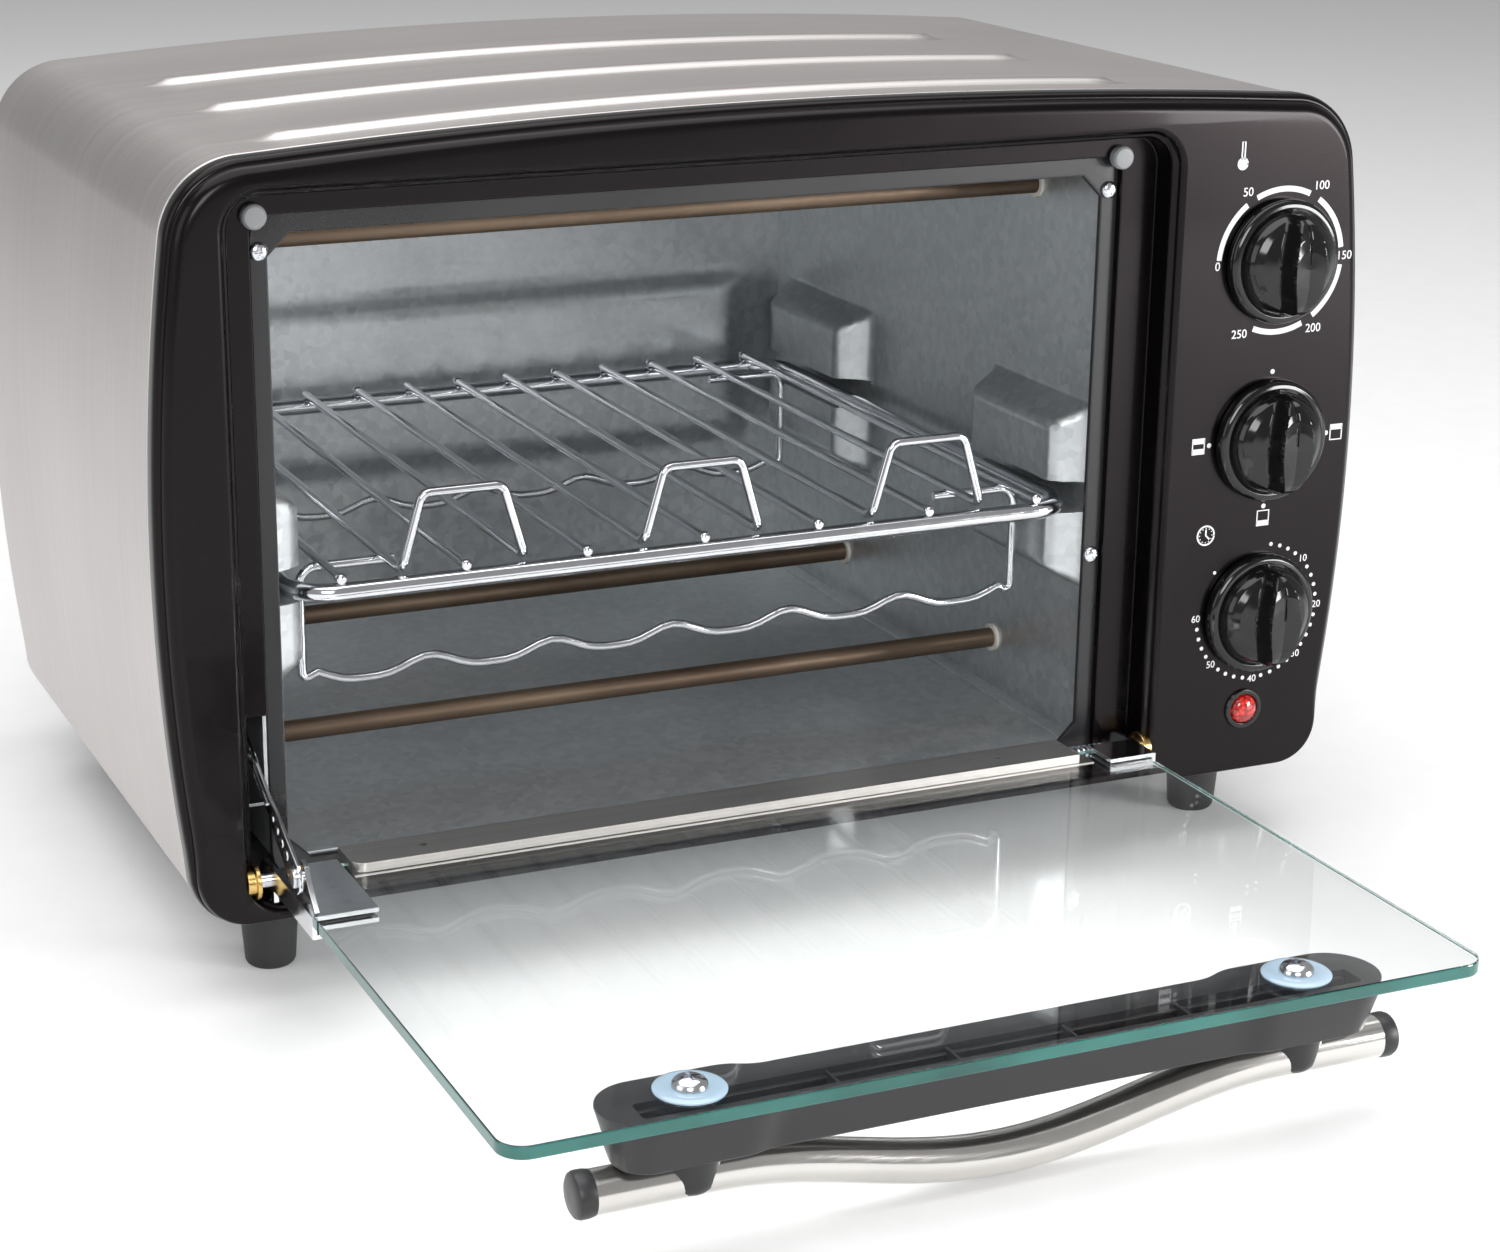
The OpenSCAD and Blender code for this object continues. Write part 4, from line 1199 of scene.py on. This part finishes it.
def strip(points, wide, closed=False):
    rings, count = [], len(points)
    for k, (x, z) in enumerate(points):
        ahead = points[(k + 1) % count] if closed or k < count - 1 else points[k]
        back = points[k - 1] if closed or k > 0 else points[k]
        t = Vector((ahead[0] - back[0], ahead[1] - back[1])).normalized()
        n = Vector((-t.y, t.x)) * wide / 2
        rings.append([at(x + n.x, 0.0, z + n.y), at(x + n.x, -0.06, z + n.y),
                      at(x - n.x, -0.06, z - n.y), at(x - n.x, 0.0, z - n.y)])
    return lofted("strip", rings, caps=not closed, loop=closed)


def arcStrip(x, z, radius, start, end, wide, steps=24):
    return strip([(x + radius * cos(radians(start + (end - start) * k / steps)),
                   z + radius * sin(radians(start + (end - start) * k / steps)))
                  for k in range(steps + 1)], wide)


def ovenPicture(x, z, shade):
    w, h, t = 2.3, 2.6, 0.55
    parts = [strip([(x - w, z - h), (x + w, z - h), (x + w, z + h), (x - w, z + h)], t, True)]
    if "top" in shade:
        parts.append(strip([(x - w, z + h - 1.0), (x + w, z + h - 1.0)], 1.5))
    if "low" in shade:
        parts.append(strip([(x - w, z - h + 1.0), (x + w, z - h + 1.0)], 1.5))
    return parts


def makePrint():
    d, parts = dials, []
    z = knobZ[0]
    for text, angle, r in d["scale"]:
        parts.append(figure(text, knobX + r * cos(radians(angle)), z + r * sin(radians(angle)),
                            d["figure"]))
    for start, end in d["arcs"]:
        parts.append(arcStrip(knobX, z, d["arc"], start, end, d["arcWide"]))
    # thermometer
    parts += [arcStrip(knobX - 17, z + 33.2, 1.4, 0, 350, 1.4), dot(knobX - 17, z + 33.2, 1.5),
              strip([(knobX - 17.55, z + 34.5), (knobX - 17.55, z + 40.4),
                     (knobX - 16.45, z + 40.4), (knobX - 16.45, z + 34.5)], 0.5)]
    z = knobZ[1]
    for angle in (90, 0, -90, 180):
        parts.append(dot(knobX + 23.4 * cos(radians(angle)), z + 23.4 * sin(radians(angle)), 0.85))
    parts += ovenPicture(knobX + 27.4, z, "top")
    parts += ovenPicture(knobX, z - 27.6, "low")
    parts += ovenPicture(knobX - 27.6, z, "top low")
    z = knobZ[2]
    for k in range(31):
        angle = radians(80 - 8.96 * k)
        x, up = knobX + d["ring"] * cos(angle), z + d["ring"] * sin(angle)
        if k and k % 5 == 4 and k < 30:
            parts.append(figure(str((k + 1) * 2), knobX + (d["ring"] + 0.5) * cos(angle),
                                z + (d["ring"] + 0.5) * sin(angle), 3.5))
        elif k < 30:
            parts.append(dot(x, up, d["dot"] * 1.15))
    parts.append(dot(knobX - 18.0, z + 15.8, 0.62))
    # clock picture
    x, up = knobX - 22.5, z + 29.5
    parts += [arcStrip(x, up, 3.3, 0, 355, 0.6), strip([(x, up + 2.1), (x, up), (x + 1.5, up - 1.4)], 0.6)]
    for k in range(12):
        a = radians(30 * k)
        parts.append(dot(x + 2.5 * cos(a), up + 2.5 * sin(a), 0.22))
    piece = joined("panelPrint", parts)
    return finished(piece, "oven", printWhite, "bronze_enamel")


makePrint()
print("panel print made")

# Pilot lamp
lamp = {"x": 170.0, "z": 50.0}
finished(turned("lampLens", ((5.0, -3), (5.1, -1.0), (5.0, 0.8), (4.4, 1.9), (3.2, 2.7), (1.6, 3.1),
                             (0.3, 3.2)), (lamp["x"], 0, lamp["z"]), (0, -1, 0), 48),
         "oven", lampRed, "lamp_red", "lamp_lens")
ring = turned("lampRing", ((7.3, 0), (7.25, 0.5), (6.9, 1.0), (6.3, 1.15)),
              (lamp["x"], 0, lamp["z"]), (0, -1, 0), 56)
cut(ring, turned("ringTool", ((5.3, -1), (5.5, 0.6), (6.1, 1.6)), (lamp["x"], 0, lamp["z"]),
                 (0, -1, 0), 56))
holder = eased("lampHolder", "lamp_holder", 0.2)
finished(smooth(joined("lampHolder", [ring, holder]), 35), "oven", knobGloss, "plated_steel",
         "lamp_holder")

# Bumpers, screws and feet
bumper = {"x": 145.5, "z": 243, "base": 16,
          "steps": ((2.4, 0), (2.4, 4.0), (3.75, 4.0), (3.85, 5.2), (3.7, 6.5), (3.1, 7.2),
                    (1.5, 7.4))}
stops = [turned("bumper", bumper["steps"], (ovenX + s * bumper["x"], bumper["base"], bumper["z"]),
                (0, -1, 0), 48) for s in (-1, 1)]
finished(joined("bumpers", stops), "oven", bumperGrey, "bumper_silicone", "bumpers")
frameScrew = {"seat": 14.5, "head": 2.9, "rise": 1.8, "shank": ((1.5, 0), (1.5, 5), (0.9, 7)),
              "places": ((-143.4, 232), (143.4, 232), (143.4, 108), (-110, 38), (0, 38),
                         (110, 38))}
seats = [(ovenX + x, frameScrew["seat"], z) for x, z in frameScrew["places"]]
heads = [phillips("frameScrew", seat, (0, -1, 0), frameScrew["head"], frameScrew["rise"])
         for seat in seats]
heads += [turned("shank", frameScrew["shank"], seat, (0, 1, 0), 20) for seat in seats]
finished(joined("frameScrews", heads), "oven", platedSteel, "plated_steel", "frame_screws")
rearScrew = {"seat": 239.1, "head": 3.4, "rise": 1.9,
             "places": ((-192, 60), (-192, 200), (-120, 254), (90, 255), (190, 110), (190, 200))}
heads = [phillips("rearScrew", (x, rearScrew["seat"], z), (0, 1, 0), rearScrew["head"],
                  rearScrew["rise"]) for x, z in rearScrew["places"]]
finished(joined("rearScrews", heads), "oven", platedSteel, "plated_steel", "rear_screws")
foot = {"x": 172, "depths": (32, 214),
        "steps": ((6.9, 0), (7.6, 0.6), (8.1, 1.6), (9.0, 14), (9.9, 25.6), (10.0, 26.6),
                  (9.6, 27.6))}
feet = [turned("foot", foot["steps"], (s * foot["x"], y, 0), (0, 0, 1), 56)
        for s in (-1, 1) for y in foot["depths"]]
finished(joined("feet", feet), "oven", footRubber, "foot_rubber", "feet")

# Rear panel and base
finished(eased("rearPanel", "rear_panel", 0.7, 3, 40), "oven", backPaint, "back_paint",
         "rear_panel")
finished(eased("basePan", "base_pan", 0.25), "oven", ovenSteel, "oven_steel", "base_pan")
print("lamp, stops, screws, feet and rear made")

# What stays as it is gets its finish
carried = {"divider_plate": ovenSteel, "heater_insulators": ceramicWhite,
           "heater_terminals": platedSteel, "thermostat": switchPlastic,
           "selector_switch": switchPlastic, "timer": timerSheet, "temperature_shaft": platedSteel,
           "selector_shaft": platedSteel, "timer_shaft": platedSteel,
           "terminal_block": ceramicWhite}
for node, material in carried.items():
    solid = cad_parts[node]
    if not solid.material_slots:
        solid.data.materials.append(material)
    for place in solid.material_slots:
        place.material = material
print("carried solids finished")

plain()
